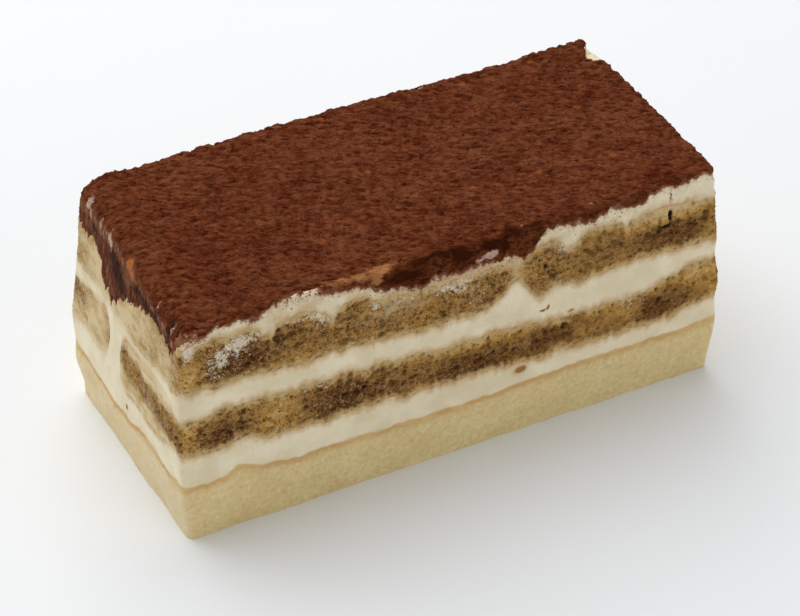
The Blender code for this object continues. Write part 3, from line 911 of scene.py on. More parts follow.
# Upper sponge: soaked sponge in two lengths that meet at a joint right of the middle. Cream and cocoa
# dragged down by the knife lie over parts of its front, and its left end is pale and smooth.
UPPER_FRONT = (
    (-58, 44.6), (-52.2, 45.1), (-49.6, 44.4), (-46, 45), (-43.6, 44.9), (-41, 43.0), (-39.1, 41.8),
    (-38.3, 43.1), (-37.2, 44.4), (-34.5, 44.9), (-31.8, 44.5), (-28.8, 43.2), (-26.8, 40.9),
    (-25.3, 42.8), (-23.4, 44.6), (-20.5, 44.0), (-18, 42.1), (-15.4, 42.0), (-6, 41.4), (4.5, 41.2),
    (12, 41.6), (15.5, 42.0), (18.9, 43.5), (22.3, 42.8), (23.9, 40.4), (25.8, 40.9), (26.7, 42.4),
    (30.2, 43.3), (35, 42.6), (37.6, 40.6), (38.6, 42.0), (42.1, 42.9), (46.6, 42.6), (50.2, 41.9),
    (51.3, 42.6), (58, 41.6),
)
UPPER_END = ((-27, 43.5), (0, 43.0), (27, 43.4))

# Coffee, pale crumb, smeared cream and crevices, in lists like those of the middle sponge
UPPER_SOAK_FRONT = (
    (-56.2, 37.6, 3.0, 4.6, -0.75), (-45.5, 38.4, 6.2, 3.2, 0.85), (-32.3, 39.6, 5.0, 3.2, 0.1),
    (-34.1, 35.2, 6.0, 1.2, -0.4), (7.1, 37.5, 3.6, 3.4, 0.2), (12.7, 38.6, 2.4, 3.4, -0.5),
    (18.5, 37.0, 4.0, 4.0, 0.1), (32.0, 37.6, 7.0, 3.0, 0.25), (48.8, 36.8, 8.0, 2.8, 0.85),
    (47.1, 41.4, 9.5, 2.0, -1.3), (57.2, 34.0, 2.4, 3.0, -0.6),
)
UPPER_SOAK_END = ((-26.5, 38.0, 2.0, 6.0, -0.3), (22.0, 37.0, 4.0, 2.0, 0.2))
UPPER_PALE_FRONT = (
    (47.0, 41.8, 8.0, 1.2, 0.35), (12.7, 39.6, 2.6, 3.6, 0.5), (-14.0, 39.4, 9.0, 2.2, 0.45),
    (24.0, 41.0, 3.0, 1.8, 0.4),
)
UPPER_PALE_END = ((5.0, 38.0, 24.0, 9.0, 0.9), (-20.0, 37.0, 5.0, 6.0, 0.35))
UPPER_SMEAR_FRONT = (
    (-47.6, 41.4, 3.2, 2.6, 0.6), (-50.8, 38.8, 2.0, 2.8, 0.5), (-44.5, 42.8, 3.4, 1.6, 0.6),
    (-56.2, 44.0, 1.5, 1.8, 1.1), (-1.1, 40.2, 5.0, 1.8, 0.7), (-12.2, 40.8, 4.5, 1.0, 0.5),
    (23.8, 41.6, 2.6, 1.5, 0.65), (40.0, 42.2, 1.4, 1.4, 0.5), (-29.0, 42.4, 2.4, 1.9, 0.65),
    (-33.0, 43.6, 6.0, 1.0, 0.45), (3.0, 36.5, 4.0, 2.0, 0.25), (-18.0, 41.2, 2.0, 1.2, 0.4),
    (32.0, 43.0, 5.0, 0.8, 0.3),
)
UPPER_SMEAR_END = ((5.0, 37.0, 26.0, 4.5, 0.25),)
UPPER_PIT_FRONT = (
    (47.2, 40.5, 0.55, 1.3, 1.3), (46.0, 38.4, 1.3, 0.45, 1.0), (44.4, 37.6, 0.6, 0.4, 0.8),
    (18.9, 37.9, 0.6, 0.7, 0.9), (19.6, 36.4, 0.5, 0.5, 0.8), (17.6, 39.8, 0.4, 0.4, 0.8),
    (-36.6, 40.2, 0.6, 0.4, 0.8), (-44.0, 37.3, 0.7, 0.5, 0.8), (-23.6, 38.6, 0.4, 0.5, 0.7),
    (-20.5, 37.8, 0.5, 0.4, 0.7), (34.0, 38.6, 0.4, 0.5, 0.7), (52.6, 37.5, 0.5, 0.4, 0.7),
)
UPPER_MATTED = (16.0, 30.0)
UPPER_MARKS = {
    "soak": (UPPER_SOAK_FRONT, UPPER_SOAK_END, 0.5, 53),
    "smear": (UPPER_SMEAR_FRONT, UPPER_SMEAR_END, 0.25, 54),
    "pale": (UPPER_PALE_FRONT, UPPER_PALE_END, 0.25, 57),
}

# How far the cocoa reaches down over each side of the top, as (place, reach). Negative reach leaves a
# strip of the top bare. Room for what hangs is pressed into the sides behind it.
REACH_FRONT = (
    (-58, -0.5), (-56, -0.4), (-54.4, 0.6), (-50.7, 0.5), (-43.4, 0.8), (-42.4, 1.8), (-41.4, 0.6),
    (-38, -0.2), (-30, -0.3), (-26.9, 1.3), (-20.6, 2.2), (-18.6, 2.9), (-16.8, 4.2), (-12.8, 4.6),
    (-9.5, 5.0), (-7.4, 5.7), (-5.6, 4.7), (-3.4, 4.5), (-1.0, 4.9), (3.3, 5.2), (4.8, 4.3), (8.6, 5.1),
    (11.1, 5.3), (13.4, 5.8), (14.7, 6.5), (16.4, 5.0), (17.8, 3.4), (19.4, 1.7), (22.3, 1.3),
    (26.6, 2.3), (31.3, 2.8), (33.1, 1.5), (38.9, 2.5), (41.3, 2.2), (43.4, 1.0), (45.7, 0.6),
    (50.6, 1.3), (55.7, 0.5), (58, 0.8),
)
REACH_END = (
    (-27, -0.5), (-25.8, 0.2), (-24.2, 2.4), (-21.8, 5.0), (-18.4, 4.5), (-14.2, 4.3), (-9.9, 4.9),
    (-3.8, 8.6), (2.5, 10.2), (4.8, 12.8), (6.9, 13.8), (10.6, 13.9), (11.6, 11.4), (14, 9.3), (15, 8.6),
    (18.9, 6.5), (27, 6.6),
)
REACH_RIGHT = (
    (-27, 0.7), (-20, 1.6), (-14, 0.5), (-6, 1.9), (2, 0.8), (9, 2.2), (15, 0.9), (18, 0.0),
    (19.5, -1.7), (23.3, -1.9), (24.6, 0.4), (27, 0.9),
)
REACH_BACK = (
    (-58, 3.4), (-50, 1.8), (-41, 3.0), (-30, 0.9), (-19, 2.1), (-8, 0.7), (4, 2.6), (16, 1.0),
    (29, 2.4), (41, 0.8), (50, 1.9), (58, 0.9),
)

# Top of the last cream along the front and the left end, and its rise along the back as (x, rise)
TOP_FRONT = ((-58, 45.2), (-54, 46.6), (-49, 47.6), (-36, 48.4), (0, 47.7), (30, 47.6), (58, 48.2))
TOP_END = ((-27, 45.6), (-20, 46.3), (10, 46.7), (27, 45.8))
TOP_BACK_RISE = (
    (-58, 1.3), (-55.5, 2.4), (-52, 2.4), (-49, 2.0), (-46, 1.4), (-34, 1.3), (-18, 2.0), (11, 2.0),
    (16, 1.5), (34, 1.1), (42, 1.5), (58, 1.5),
)
# Fray of the cocoa's foot as (strength, pitch), and where the left end is torn more, along y
REACH_SCALES = ((0.34, 2.8), (0.24, 1.4), (0.12, 0.8))
TORN = (-14.0, -20.0)
TORN_PITCH = 2.0
COCOA_BED = 0.32
CREAM_SINK = 0.55
ROOM_DEPTH = 0.5
# Cocoa rubbed on below the skin, as (share, distance in which it fades)
RUBBED = ((0.75, 0.5), (0.14, 2.5))


def cream_crown(x, y):
    """Top of the last cream, a little higher at the back than at the front."""
    depth = (y + HALF_WIDTH) / WIDTH
    return cream_surface(x, y) + stations(TOP_BACK_RISE, x, 1.2) * depth


def covered_crown(x, y):
    """Top of the last cream under the cocoa, pressed in a little by the powder."""
    return cream_crown(x, y) - CREAM_SINK


def cocoa_reach(x, y, directions):
    """How far the cocoa comes down over the edge of the top, ragged as the knife left it."""
    reach = facing(directions, FRONT) * stations(REACH_FRONT, x, 0.3)
    reach = reach + facing(directions, RIGHT) * stations(REACH_RIGHT, y, 0.6)
    reach = reach + facing(directions, BACK) * stations(REACH_BACK, x, 1.5)
    reach = reach + facing(directions, LEFT) * stations(REACH_END, y, 0.4)
    ragged = frayed(x, y, 61, REACH_SCALES)
    torn = facing(directions, LEFT) * (0.5 + 0.7 * ramp(*TORN, y)) * ramp(0.0, 2.0, reach)
    return reach + ragged * (0.7 + 0.07 * np.abs(reach)) + 0.8 * torn * ripple(x, y, 64, TORN_PITCH)


def under_cocoa(x, y, z, directions):
    """Room pressed into a side where cocoa hangs over it."""
    reach = cocoa_reach(x, y, directions)
    foot = cream_crown(x, y) + COCOA_BED - reach
    return ROOM_DEPTH * ramp(foot - 0.5, foot + 0.7, z) * ramp(1.0, 2.5, reach)


def cocoa_dust(rows, directions):
    """Cocoa rubbed onto the side below the edge of the skin."""
    x, y = rows[0, :, :2].T
    foot = cream_crown(x, y) + COCOA_BED - cocoa_reach(x, y, directions)
    below = np.maximum(foot - rows[..., 2], 0.0)
    return sum(share * np.exp(-below / fade) for share, fade in RUBBED)


cream_surface = seam(TOP_FRONT, TOP_END, 0.2, 0.5, 51)
upper_sponge_top = seam(UPPER_FRONT, UPPER_END, 0.3, 1.0, 52)
rings = {
    "left": outline(-HALF_LENGTH, JOINT_X, -HALF_WIDTH, HALF_WIDTH, SPONGE_STEP, 1),
    "right": outline(JOINT_X, HALF_LENGTH, -HALF_WIDTH, HALF_WIDTH, SPONGE_STEP, 3),
}
for length_name, ring in rings.items():
    rows, marks = slab(ring, upper_under, upper_sponge_top, SPONGE_STEP, SPONGE_INSET, SPONGE_BULGE,
                       SPONGE_LAP, under_cocoa)
    marks["dust"] = cocoa_dust(rows, ring[1])
    marks["matted"] = 0.7 * ramp(*UPPER_MATTED, rows[..., 0])
    steep(rows, marks, ring[1], UPPER_MARKS, UPPER_PIT_FRONT)
    name = "upper_sponge_" + length_name + "_crumb"
    upper_sponge = closed(name, rows, upper_under, upper_sponge_top, marks)
    worked(upper_sponge, crumb_tree, sponge_finish)
    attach(upper_sponge, "root")
    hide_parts("upper_sponge_" + length_name)
    if length_name == "left":
        upper_left = upper_sponge

# Top cream: the last spread, thin over the humps of the sponge and thick in its dips. Its top edge is
# round and fluffy where the cocoa stops short of it, and dusted where the powder fell past it.
# Round of the top edge, its most as a share of the cream's thickness, and the strip of the top drawn here
CROWN_ROUND = 1.3
CROWN_SHARE = 0.45
CROWN_STRIP = 3.6
ARC_ROWS = 7
HELD = 0.9
NO_SEAM_ABOVE = 3.0
CREAM_FLUFF = {"Fluff": 1.6, "Swell": 0.4}

# Stains and fallen cocoa on the last cream, in the form of the lower cream's
TOP_STAIN_FRONT = (
    (-47.4, 45.0, 3.2, 0.6, 0.8), (-23.0, 46.8, 3.2, 1.4, 0.95), (-20.0, 44.6, 2.5, 0.8, 0.6),
    (30.0, 43.8, 6.0, 0.6, 0.5), (50.0, 42.8, 5.0, 0.6, 0.4), (-31.0, 46.0, 2.4, 1.0, 0.5),
    (-38.5, 44.8, 1.6, 1.2, 0.6), (36.0, 44.6, 3.0, 1.2, 0.35), (-3.0, 42.2, 14.0, 1.3, 1.0),
    (-38.0, 46.4, 12.0, 1.6, 0.4),
)
TOP_STAIN_END = ((0.0, 44.0, 25.0, 1.0, 0.3),)
TOP_DUST_FRONT = (
    (-41.8, 47.4, 0.9, 1.2, 0.75), (-43.4, 46.2, 0.5, 0.9, 0.6), (42.5, 47.6, 2.2, 1.6, 0.42),
    (40.0, 46.0, 1.6, 1.5, 0.35), (47.4, 45.0, 0.3, 2.2, 0.6), (-28.0, 47.5, 2.0, 1.5, 0.35),
    (-54.5, 46.0, 1.5, 1.0, 0.4), (27.0, 45.5, 4.0, 1.0, 0.3), (-3.0, 42.8, 14.0, 0.9, 0.3),
    (-57.0, 46.5, 1.8, 2.0, 0.35), (-42.6, 46.8, 0.45, 0.8, 0.6), (-36.0, 47.6, 10.0, 0.9, 0.22),
)


def round_crown(ring, under, over, step, room):
    """Rows of points up the side of the top cream, round its top edge and a little way inwards.

    Where the cocoa lies on the cream, the cream is held flat and doesn't fluff up.
    """
    places, directions, spread = ring
    x, y = places.T
    low = under(x, y)
    high = over(x, y)
    bend = np.minimum(CROWN_ROUND, CROWN_SHARE * (high - low))
    reach = np.array([HALF_LENGTH, HALF_WIDTH])
    rows = []
    for share in np.linspace(0.0, 1.0, max(4, round(float(np.mean(high - low)) / step))):
        z = low + share * (high - bend - low)
        depth = CREAM_INSET + wander(x, y, z) + room(x, y, z, directions)
        rows.append(np.column_stack([places - spread * depth[:, None], z]))
    last = rows[-1][:, :2]
    bare = -cocoa_reach(x, y, directions)
    held = [HELD * ramp(0.2, 0.8, row[:, 2] - high - bare) for row in rows]
    for angle in np.linspace(0.0, math.pi / 2, ARC_ROWS)[1:]:
        inset = bend * (1.0 - math.cos(angle))
        inward = 1.0 - inset[:, None] / reach
        rows.append(np.column_stack([last * inward, high - bend * (1.0 - math.sin(angle))]))
        held.append(HELD * ramp(0.0, 0.6, inset - bare))
    for extra in np.arange(step, CROWN_STRIP, step):
        spot = last * (1.0 - (bend[:, None] + extra) / reach)
        sink = CREAM_SINK * ramp(0.3, 1.2, bend + extra - bare)
        held.append(HELD * ramp(0.0, 0.6, bend + extra - bare))
        rows.append(np.column_stack([spot, over(spot[:, 0], spot[:, 1]) - sink]))
    rows = np.array(rows)
    rise = np.clip(rows[..., 2] - low, 0.0, None)
    ahead = np.gradient(rows, axis=0)
    aside = np.roll(rows, -1, axis=1) - np.roll(rows, 1, axis=1)
    outward = np.cross(aside, ahead)
    outward /= np.linalg.norm(outward, axis=-1, keepdims=True)
    marks = {"outward": outward, "rise": rise, "held": np.array(held), "joined": np.zeros_like(rise)}
    marks["drop"] = np.full_like(rise, NO_SEAM_ABOVE)
    return rows, marks


rows, marks = round_crown(block, upper_sponge_top, cream_crown, CREAM_STEP, under_cocoa)
marks["stain_and_crack_shade"] = on_sides(TOP_STAIN_FRONT, TOP_STAIN_END, 0.2, 55, rows, block[1])
marks["dust"] = cocoa_dust(rows, block[1]) + on_sides(TOP_DUST_FRONT, (), 0.15, 56, rows, block[1])
marks["fluffy"] = np.ones_like(marks["rise"])
cream_top = closed("cream_top_spread", rows, upper_sponge_top, covered_crown, marks)
worked(cream_top, cream_tree, cream_finish, CREAM_FLUFF)
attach(cream_top, "root")
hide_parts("cream_top")

# Cocoa: powder sieved over the last cream, damp underneath and lumpy, in a skin about 0.7 mm thick. The
# knife dragged it down over the left end and the middle of the front, where it is dark and streaked.
COCOA_STEP = 0.32
COCOA_ROWS = 34
COCOA_INSIDE = 2.6
COCOA_THICK = 0.7
# The skin thins out to its foot, and bends over the edges of the top
EDGE_SINK = 0.46
EDGE_TAPER = 1.2
EDGE_ROUND = 1.0
END_ROUND = 2.0
# How far the hanging skin lies inside the block, at the front and right, the left end and the back
OUTER_INSET = 0.1
END_INSET = 0.25
BACK_INSET = 0.5
INNER_MARGIN = 2.0
UNDERSIDE_GAP = 0.05
FAR_FROM_EDGE = 9.0
FOOT_LUMPS = 0.35
FLECK_SIZE = 1.1
COCOA_LIT_BROWN = shade(128, 73, 45)
COCOA_SHADED_BROWN = shade(84, 28, 4)
COCOA_HOLLOW_SHADE = shade(52, 9, 1)
COCOA_DAMP = shade(112, 58, 26)
COCOA_SODDEN = shade(54, 18, 4)
COCOA_WET = shade(88, 44, 26)
COCOA_DRAG = shade(134, 84, 58)
COCOA_STRAND = shade(50, 28, 20)
COCOA_PINK = shade(172, 128, 104)
COCOA_THIN = shade(186, 126, 78)
COCOA_PAINTED_SHEEN = shade(186, 108, 56)
CREAM_STREAK = shade(212, 178, 160)
FLECK = shade(158, 88, 44)
WRINKLE_TURN = math.radians(28.0)
WRINKLE_STRETCH = 0.42

# Bare streaks and the glossy patch on the left end as (y, z, reach, reach up, strength)
STREAK_END = (
    (21.4, 47.3, 0.9, 1.1, 1.5), (19.8, 46.0, 0.7, 1.2, 1.0), (14.4, 47.0, 0.9, 1.3, 1.0),
    (12.6, 45.8, 0.7, 1.2, 0.85), (9.6, 47.2, 0.7, 1.3, 1.3), (8.6, 45.8, 0.6, 1.2, 1.0),
    (-14.5, 46.6, 0.4, 1.4, 0.8), (-21.6, 46.0, 0.45, 1.2, 0.85), (-24.6, 44.4, 0.9, 1.6, 1.0),
    (-25.6, 43.4, 0.7, 1.4, 1.0),
)
# The glossy patch is also painted lighter orange, as its sheen.
GLOSS_END = ((-0.6, 47.4, 1.3, 1.3, 1.6), (-2.0, 46.2, 1.6, 1.4, 1.0), (-4.4, 45.8, 1.4, 1.0, 0.5))
# Wet dark strands on the left end as (y, z, reach, reach up, strength)
STRAND_END = (
    (7.4, 44.6, 1.6, 2.0, 0.9), (5.0, 42.4, 1.8, 2.2, 1.0), (2.6, 40.4, 1.9, 2.0, 0.9),
    (-4.6, 44.6, 1.9, 2.0, 0.9), (-9.6, 44.2, 2.6, 1.7, 1.0), (-14.6, 44.4, 2.0, 1.6, 0.9),
    (-20.6, 45.0, 1.0, 2.4, 1.0), (17.0, 44.6, 2.0, 1.4, 0.7),
)
# Cream that shows through the cocoa on the front as (x, z, reach, reach up, strength)
STREAK_FRONT = ((6.9, 44.8, 1.7, 0.9, 1.6), (4.4, 44.2, 1.0, 0.7, 0.8), (-57.0, 45.8, 1.2, 1.2, 1.0))
# Thin powder over cream and damp blotches along the front edge as (x, distance in from the edge, reach,
# reach in, strength)
THIN_FRONT = (
    (-25.0, 0.6, 2.6, 1.1, 0.75), (-20.4, 0.4, 2.6, 1.4, 0.75), (-15.8, 1.1, 2.4, 1.5, 1.1),
    (-17.6, -1.4, 1.4, 1.8, 0.85), (-29.5, 0.4, 2.5, 0.9, 0.5),
)
DAMP_FRONT = (
    (-11.5, -2.2, 3.6, 1.0, 1.0), (-8.5, 0.6, 2.2, 0.9, 0.6), (-3.7, 1.2, 2.6, 1.2, 0.9),
    (0.3, -0.6, 1.6, 2.2, 1.0), (5.4, 1.2, 3.0, 0.7, 0.6), (7.2, -0.8, 2.0, 0.9, 1.2),
    (12.0, 1.2, 2.2, 1.3, 1.2), (9.8, -2.4, 0.9, 1.2, 0.8), (17.8, 0.9, 2.8, 0.8, 0.9),
)
# Where the powder is thin over a lump, as (x, y)
FLECKS = (
    (-4.7, 23.6), (27.0, 22.4), (43.5, 23.3), (43.6, 4.5), (26.1, -11.3), (11.9, -10.2), (-4.5, 3.8),
    (-22.4, -12.7), (42.0, -13.1), (-31.1, -2.2),
)


def wrinkled(place):
    """Place stretched along the powder's faint wrinkles, from the left back to the right front."""
    values = {"Vector": place, "Angle": WRINKLE_TURN}
    turned = place.add("ShaderNodeVectorRotate", {"rotation_type": "Z_AXIS"}, values)
    return turned.times((WRINKLE_STRETCH, 1.0, 1.0))


def cocoa_powder():
    """Dry powder on top, thin at its edges, wet and streaked where the knife dragged it down, with painted
    light and shade on its lumps.
    """
    made, start, place, value = new_food("cocoa_powder")
    cloud = place.noise(9.0, 3.0)
    grain = wrinkled(place)
    lump = grain.noise(1.2, 3.0, 0.6)
    fine = grain.noise(0.45, 3.0, 0.6)
    # Painted light and shade: the lumps mix a lit and a shaded copy of the cocoa's brown.
    tone = (cloud * 0.35 + lump * 0.85 + fine * 0.75 - 0.475).eased(0.22, 0.78)
    colour = tone.mix(COCOA_SHADED_BROWN, COCOA_LIT_BROWN)
    # Painted shade: the low parts of the relief are darker.
    colour = (value("pit") * 0.65).mix(colour, COCOA_HOLLOW_SHADE)
    drag = place.times((1.0, 1.0, 0.32)).noise(1.2, 4.0, 0.65)
    cluster = place.noise(3.5, 3.0)
    clouds = (lump - 0.5) * 0.6 + (cluster - 0.5) * 1.1
    damp = value("damp") + clouds * value("damp").eased(0.0, 0.3)
    soggy = (lump * 0.6 + fine * 0.5 + cluster * 0.5 - 0.3).eased(0.36, 0.6).mix(COCOA_SODDEN, COCOA_DAMP)
    colour = (damp.eased(0.05, 0.6) * 0.85).mix(colour, soggy)
    colour = (damp.eased(0.6, 1.15) * 0.9).mix(colour, COCOA_SODDEN)
    wet = value("dragged") + clouds * value("dragged").eased(0.0, 0.25)
    smeared = (drag + (cluster - 0.5) * 0.6).eased(0.4, 0.68).mix(COCOA_DRAG, COCOA_PINK)
    colour = (wet.eased(0.02, 0.4) * (drag.eased(0.35, 0.6) * 0.5 + 0.4)).mix(colour, smeared)
    sodden = (drag + (fine - 0.5) * 0.5 + (cluster - 0.5) * 0.5).eased(0.4, 0.72).mix(COCOA_WET, COCOA_DRAG)
    colour = (wet.eased(0.55, 0.95) * 0.92).mix(colour, sodden)
    comb = place.times((1.0, 1.0, 0.25)).noise(0.5, 3.0, 0.6)
    strand = (comb - 0.5) * 2.6 + (drag - 0.5) * 1.6 + (cluster - 0.5) * 0.8
    strand = value("strand") + strand * value("strand").eased(0.0, 0.25)
    colour = (strand.eased(0.15, 0.8) * 0.88).mix(colour, COCOA_STRAND)
    thin = value("edge") + (lump - 0.5) * 1.2 + value("dragged") * 1.2 + value("hanging")
    thin = thin.eased(0.55, -0.25) * value("skin")
    thin = thin.most((value("thin") + (lump - 0.5) * 1.2 + (fine - 0.5) * 0.8).eased(0.3, 0.95))
    colour = (thin * 0.8).mix(colour, COCOA_THIN)
    spot = value("fleck") + (fine - 0.5) * 0.9
    colour = (spot.eased(0.4, 1.0) * 0.6).mix(colour, FLECK)
    gloss = value("gloss") + (drag - 0.5) * 1.1
    # The glossy patch: painted sheen of lighter orange, while its roughness below is lowered too.
    colour = (gloss.eased(0.2, 1.3) * 0.9).mix(colour, COCOA_PAINTED_SHEEN)
    bare = value("bare") * 1.1 + ((drag - 0.5) * 1.8 + (fine - 0.5) * 1.6) * value("bare").eased(0.0, 0.3)
    colour = (bare.eased(0.3, 1.2) * 0.9).mix(colour, CREAM_STREAK)
    roughness = 0.95 - gloss.eased(0.3, 1.0) * 0.4 - wet.eased(0.3, 0.9) * 0.12
    height = grain.noise(0.7, 2.0) * value("skin") + fine * 0.4 + place.noise(0.2, 2.0) * 0.08
    finish_food(start, colour, roughness, height, 0.5, 0.06)
    return made


def powder_relief():
    """Lumpy powder: broad swells, low wrinkled lumps, and combed streaks where it was dragged down."""
    sizes = {"Swell": 0.35, "Lump": 1.2, "Fine": 0.5, "Comb": 0.8}
    start, given = new_shape_tree("powder_relief", sizes)
    place = given["place"]
    loose = known(start, "loose")
    grain = wrinkled(place)
    swell = place.noise(7.0, 2.0) - 0.5
    lump = grain.noise(0.8, 2.0, 0.5) - 0.52
    fine = grain.noise(0.5, 2.0) - 0.5
    comb = place.times((1.0, 1.0, 0.15)).noise(0.9, 2.0) - 0.5
    level = swell * given["Swell"] + lump * given["Lump"] + fine * given["Fine"]
    level = level.most(-0.45).least(0.32) * loose + comb * given["Comb"] * known(start, "dragged")
    normal = start.add("GeometryNodeInputNormal")
    geometry = pushed(start, given["Geometry"], normal, level)
    # The low parts of the relief are kept as pit, for painted shade.
    low = (0.0 - lump - fine * 0.5).eased(0.0, 0.16)
    geometry = kept(start, geometry, "pit", low * loose)
    return end_shape_tree(start, given, geometry)


def folded(distance, bend):
    """Inset and drop of a sheet that bends over an edge, by distance from the edge, inwards positive."""
    quarter = math.pi * bend / 4
    angle = np.clip((quarter - distance) / (2 * quarter), 0.0, 1.0) * math.pi / 2
    inset = bend * (1.0 - np.sin(angle)) + np.maximum(distance - quarter, 0.0)
    drop = bend * (1.0 - np.cos(angle)) + np.maximum(-quarter - distance, 0.0)
    return inset, drop


def cocoa_sheet():
    """Rows of the skin from its rim on the top, folded over the edge, to its ragged foot.

    The outer side, the inner side and how far each row is from the edge come out, with the reach of the
    skin and where its foot is.
    """
    ring = outline(-HALF_LENGTH, HALF_LENGTH, -HALF_WIDTH, HALF_WIDTH, COCOA_STEP)
    places, directions, spread = ring
    x, y = places.T
    half = np.array([HALF_LENGTH, HALF_WIDTH])
    reach = cocoa_reach(x, y, directions)
    facing_left = facing(directions, LEFT)
    side_inset = OUTER_INSET + (END_INSET - OUTER_INSET) * facing_left
    side_inset = side_inset + (BACK_INSET - OUTER_INSET) * facing(directions, BACK)
    bend = EDGE_ROUND + (END_ROUND - EDGE_ROUND) * facing_left
    quarter = math.pi * bend / 4
    # Where the skin ends: past the bend, within it, or short of the edge
    last = np.where(reach > bend, -quarter - (reach - bend), 0.0)
    turned = np.arccos(np.clip(1.0 - reach / bend, -1.0, 1.0))
    last = np.where((reach > 0) & (reach <= bend), quarter - 4 * quarter * turned / math.pi, last)
    last = np.where(reach <= 0, quarter - reach, last)
    outer = []
    inner = []
    gone = []
    for share in np.linspace(0.0, 1.0, COCOA_ROWS):
        distance = COCOA_INSIDE + quarter + (last - COCOA_INSIDE - quarter) * share
        inset, drop = folded(distance, bend)
        spot = places * (1.0 - inset[:, None] / half) - spread * side_inset[:, None]
        top = cream_crown(spot[:, 0], spot[:, 1]) + COCOA_BED
        hanging = ramp(0.0, bend, drop)
        down = np.column_stack([-directions * hanging[:, None], hanging - 1.0])
        surface = np.column_stack([spot, top - drop])
        sink = EDGE_SINK * (1.0 - np.clip((distance - last) / EDGE_TAPER, 0.0, 1.0)) ** 1.5
        gone.append(distance)
        outer.append(surface + down * sink[:, None])
        inner.append(surface + down * COCOA_THICK)
    return ring, np.array(outer), np.array(inner), np.array(gone), reach, last


def skin_marks(places, directions, rows, gone, reach, last):
    """What the rows of the skin carry by name, each with its value all over the lid."""
    x, y, z = np.moveaxis(rows, -1, 0)
    facing_left = facing(directions, LEFT)
    facing_front = facing(directions, FRONT)
    drop = cream_crown(places[:, 0], places[:, 1]) + COCOA_BED - z
    outer_from = len(rows) - len(gone)
    lumpy = np.ones_like(z)
    lumpy[:outer_from] = 0.0
    lumpy[outer_from] = FOOT_LUMPS
    loose = lumpy * (1.0 - 0.55 * facing_left * ramp(0.8, 2.5, drop))
    sheet = np.concatenate([np.full_like(z[:outer_from], FAR_FROM_EDGE), gone[::-1]])
    edge = np.concatenate([np.zeros_like(z[:outer_from]), (gone - last)[::-1]])
    damp = 0.6 * ramp(1.5, 3.5, reach) * ramp(1.6, 0.2, sheet) + patches(DAMP_FRONT, x, sheet)
    bare = facing_left * patches(STREAK_END, y, z) + facing_front * patches(STREAK_FRONT, x, z)
    return {
        "edge": (edge, FAR_FROM_EDGE),
        "skin": (np.ones_like(edge), 1.0),
        "thin": (facing_front * patches(THIN_FRONT, x, sheet), 0.0),
        "hanging": (ramp(2.5, 4.5, reach) * np.ones_like(edge) * (0.2 + 0.3 * facing_left), 0.0),
        "loose": (loose, 1.0),
        "dragged": (ramp(0.1, 5.0, drop) * facing_left, 0.0),
        "damp": (facing_front * damp, 0.0),
        "strand": (facing_left * patches(STRAND_END, y, z), 0.0),
        "gloss": (facing_left * patches(GLOSS_END, y, z), 0.0),
        "bare": (bare, 0.0),
    }


def cocoa_piece(name):
    """The skin as one closed mesh, with what its points carry."""
    (places, directions, _), outer, inner, gone, reach, last = cocoa_sheet()
    ring = len(places)
    # Every third row will do on the inner side
    inner = inner[::-1][::3][::-1]
    rows = np.concatenate([inner, outer[::-1]])
    edge = rows[-1][:, :2]
    # The lid is a plain grid, joined to the last row by a border of triangles
    margin = 0.6 * COCOA_STEP
    low = edge.min(axis=0) + margin
    high = edge.max(axis=0) - margin
    columns = round((high[0] - low[0]) / COCOA_STEP) + 1
    depths = round((high[1] - low[1]) / COCOA_STEP) + 1
    along = np.linspace(low[0], high[0], columns)
    across = np.linspace(low[1], high[1], depths)
    grid = np.stack(np.meshgrid(along, across), axis=-1)
    lid = np.concatenate([grid, (cream_crown(grid[..., 0], grid[..., 1]) + COCOA_BED)[..., None]], axis=-1)
    index = np.arange(len(rows) * ring).reshape(len(rows), ring)
    faces = walls(index)
    table = len(rows) * ring + np.arange(columns * depths).reshape(depths, columns)
    square = np.stack([table[:-1, :-1], table[:-1, 1:], table[1:, 1:], table[1:, :-1]], axis=-1)
    faces += square.reshape(-1, 4).tolist()
    border = np.concatenate([table[0, :-1], table[:-1, -1], table[-1, :0:-1], table[:0:-1, 0]])
    spots = lid.reshape(-1, 3)[border - table[0, 0]]
    triangles = cap(edge, spots[:, :2])
    middles = np.concatenate([edge, spots[:, :2]])[triangles].mean(axis=1)
    outside = ((middles < low) | (middles > high)).any(axis=1)
    faces += np.concatenate([index[-1], border])[triangles[outside]].tolist()
    # The underside has coarse triangles, a little lower than the skin is thick
    within = (low[0] + INNER_MARGIN, high[0] - INNER_MARGIN, low[1] + INNER_MARGIN, high[1] - INNER_MARGIN)
    inside = inner_points(*within, HIDDEN_STEP)
    under = cream_crown(inside[:, 0], inside[:, 1]) + COCOA_BED - COCOA_THICK - UNDERSIDE_GAP
    numbers = np.concatenate([index[0], len(rows) * ring + columns * depths + np.arange(len(inside))])
    faces += numbers[cap(rows[0][:, :2], inside)][:, ::-1].tolist()
    points = np.concatenate([rows.reshape(-1, 3), lid.reshape(-1, 3), np.column_stack([inside, under])])
    mesh = bpy.data.meshes.new(name)
    mesh.from_pydata(settle(points), [], faces)
    mesh.polygons.foreach_set("use_smooth", np.ones(len(faces), dtype=bool))
    for label, (values, on_lid) in skin_marks(places, directions, rows, gone, reach, last).items():
        filled = np.full(len(points), on_lid)
        filled[: values.size] = values.ravel()
        filled[len(points) - len(inside):] = 0.0
        carry(mesh, label, filled)
    away = [np.square(points[:, :2] - spot).sum(axis=1) for spot in FLECKS]
    carry(mesh, "fleck", sum(np.exp(-distance / FLECK_SIZE) for distance in away))
    return placed(name, mesh)


cocoa_finish = cocoa_powder()
cocoa_top = cocoa_piece("cocoa_top_powder")
worked(cocoa_top, powder_relief(), cocoa_finish)
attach(cocoa_top, "root")
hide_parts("cocoa_top")

